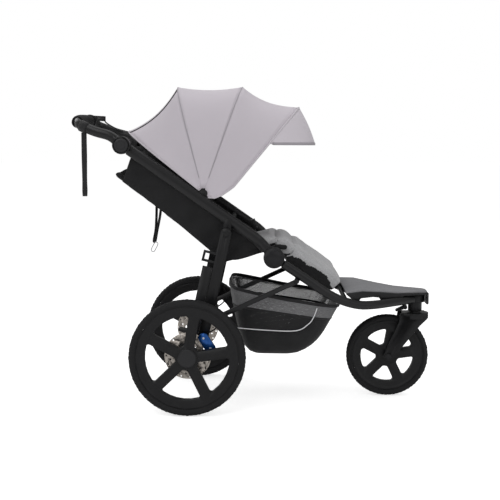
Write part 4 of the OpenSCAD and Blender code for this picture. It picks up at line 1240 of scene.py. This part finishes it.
def turned(name, profile, centre, material, sides=96, closed=False):
    """A shape turned about the Y axis, from points (radius, sideways) in millimetres."""
    rows = [[centre + Vector((r * MM * math.cos(2 * math.pi * k / sides), y * MM,
                              r * MM * math.sin(2 * math.pi * k / sides))) for k in range(sides)]
            for r, y in (profile + profile[:1] if closed else profile)]
    piece = grid(name, rows, closed=True)
    if not closed:
        close_holes(piece)
    face_outwards(piece)
    piece.data.set_sharp_from_angle(angle=math.radians(40))
    return painted(piece, material)


TREAD_DEPTH = 1.3
# Each row of tread blocks: its place across the tyre, its width, and how far it sits below the crown
TREAD_ROWS = ((0, 11, 0.0), (10.5, 7, 1.3), (-10.5, 7, 1.3))


def tyre(node, centre):
    """A tyre with a ribbed tread of three rows of blocks."""
    low, high = (Vector(corner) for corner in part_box(node))
    radius, half = (high.z - low.z) / 2 / MM, (high.y - low.y) / 2 / MM
    depth = 24 if radius > 180 else 21
    crown = radius - TREAD_DEPTH
    profile = []
    for k in range(31):
        a = math.radians(6 * k)
        profile.append((crown - depth * 0.62 * (1 - math.sin(a) ** 0.8), half * squared(math.cos(a), 0.6)))
    profile += [(radius - depth, -half + 6), (radius - depth, half - 6)]
    parts = [turned("casing", profile, centre, tyre_rubber, closed=True)]
    count = round(radius * 0.42)
    for y, across, drop in TREAD_ROWS:
        shape = block((2.6 * MM, across * MM, 8.5 * MM))
        parts.append(ringed("tread", shape, count, (crown - drop) * MM, centre + flat(0, 0, y), tyre_rubber))
        bpy.data.objects.remove(shape)
    body = nodes[node]["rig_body"]
    finish_piece(joined(node + "_finished", parts), body, tyre_rubber, [node])


for label, side in SIDES.items():
    centre = pivot("rear_wheel_" + label + "_spin")
    tyre("rear_tyre_" + label, centre)
    cap = [(31, side * 13), (31.5, side * 20), (29, side * 22.6), (14, side * 24), (0.4, side * 24.3)]
    finish_piece(turned("hub_cap_" + label, cap, centre, cap_plastic), "rear_wheel_" + label, cap_plastic)
tyre("front_tyre", front_axle)


def bolt_head(name, centre, side, radius, height, material=bright_steel):
    """A round bolt head with a socket, standing off a face that looks sideways."""
    top, floor = side * height, side * height * 0.4
    profile = [(radius, 0), (radius, top * 0.7), (radius * 0.8, top), (radius * 0.5, top),
               (radius * 0.45, floor), (0.2, floor)]
    return turned(name, profile, centre, material, sides=24)


def brake_bolts(label, side):
    """The two bolts of a caliper, and the six that hold the disc to the rim."""
    low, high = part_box("brake_calipers")
    face = high.y if side == LEFT else low.y
    caliper_bolts = [
        bolt_head("bolt", Vector((rear_axle.x + x * MM, face, rear_axle.z + z * MM)), side, 4.2, 2.2)
        for x, z in ((54, 62), (78, 26))]
    finish_piece(joined("caliper_bolts_" + label, caliper_bolts), nodes["brake_calipers"]["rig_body"],
                 bright_steel)
    disc_low, disc_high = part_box("brake_disc_" + label)
    inner = disc_low.y if side == LEFT else disc_high.y
    centre = Vector((rear_axle.x, inner, rear_axle.z))
    heads = [bolt_head("bolt", centre + flat(21 * math.cos(a), 21 * math.sin(a)), -side, 3.2, 1.8)
             for a in [math.radians(60 * k + 30) for k in range(6)]]
    finish_piece(joined("disc_bolts_" + label, heads), "rear_wheel_" + label, bright_steel)


for label, side in SIDES.items():
    brake_bolts(label, side)


# ------------------------------------------------------------------ caps on the handlebar hinges

STEM_SHARE = 0.96


def hinge_cap(label, side):
    """A round cap with a ring groove on a push button, whose stem is drawn in to fit under it."""
    node = "handle_button_" + label
    low, high = (Vector(corner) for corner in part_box(node))
    face = (high.y if side == LEFT else low.y) / MM
    profile = [(23.6, face - side * 4.5), (23.6, face - side * 1), (22, face), (16, face + side * 0.5),
               (15.2, face - side * 0.4), (14.2, face - side * 0.4), (13.4, face + side * 0.7),
               (0.4, face + side * 1.0)]
    centre = Vector((handle_hub.x, 0, handle_hub.z))
    stem = cad_copy("stem", node)
    stem.data.transform(Matrix.Translation(centre) @ Matrix.Diagonal((STEM_SHARE, 1, STEM_SHARE, 1))
                        @ Matrix.Translation(-centre))
    piece = joined("hinge_cap_" + label, [turned("face", profile, centre, cap_plastic),
                                         painted(stem, cap_plastic)])
    finish_piece(piece, nodes[node]["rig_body"], cap_plastic, [node])


for label, side in SIDES.items():
    hinge_cap(label, side)


# ------------------------------------------------------------------ studio

def studio():
    """A wide pale floor, soft lights all round and a white sky."""
    rows = [[Vector((x, y, 0)) for x in (-40, 40)] for y in (-40, 40)]
    floor = grid("floor", rows)
    paper, tree, shader, place = blank("studio_paper", 0.9)
    mottle = placed(tree, mottle_group, {"Vector": place, "Patch": 1.5, "Fleck": 80.0})
    tree.links.new(tinted(tree, mottle["Patches"], (0.92, 0.92, 0.92), 0.99, 1.01),
                   shader.inputs["Base Color"])
    floor_seen = add(tree, "ShaderNodeLightPath").outputs["Is Camera Ray"]
    glow = add(tree, "ShaderNodeMapRange", {"Value": floor_seen, "To Min": 0.0, "To Max": 0.66})
    feed(tree, shader, {"Emission Strength": glow.outputs[0], "Emission Color": (1, 1, 1, 1)})
    floor.data.materials.append(paper)
    world = bpy.data.worlds.new("sky")
    world.use_nodes = True
    bpy.context.scene.world = world
    sky = world.node_tree
    seen = add(sky, "ShaderNodeLightPath").outputs["Is Camera Ray"]
    power = add(sky, "ShaderNodeMapRange", {"Value": seen, "To Min": 0.38, "To Max": 1.0})
    feed(sky, sky.nodes["Background"], {"Strength": power.outputs[0], "Color": (1, 1, 1, 1)})
    for name, at, size, watts in (
            ("key", (-1.6, -3.4, 3.6), 3.0, 52), ("fill", (3.2, -3.0, 2.2), 3.0, 22),
            ("top", (0.0, 0.4, 4.2), 3.5, 46), ("rim", (-2.6, 2.6, 2.6), 2.0, 20)):
        data = bpy.data.lights.new(name, "AREA")
        data.energy = watts
        data.size = size
        lamp = bpy.data.objects.new(name, data)
        lamp.location = at
        lamp.visible_camera = False
        lamp.rotation_euler = (Vector((0, 0, 0.5)) - Vector(at)).to_track_quat("-Z", "Y").to_euler()
        bpy.context.scene.collection.objects.link(lamp)


studio()
bpy.context.scene.view_settings.view_transform = "Standard"
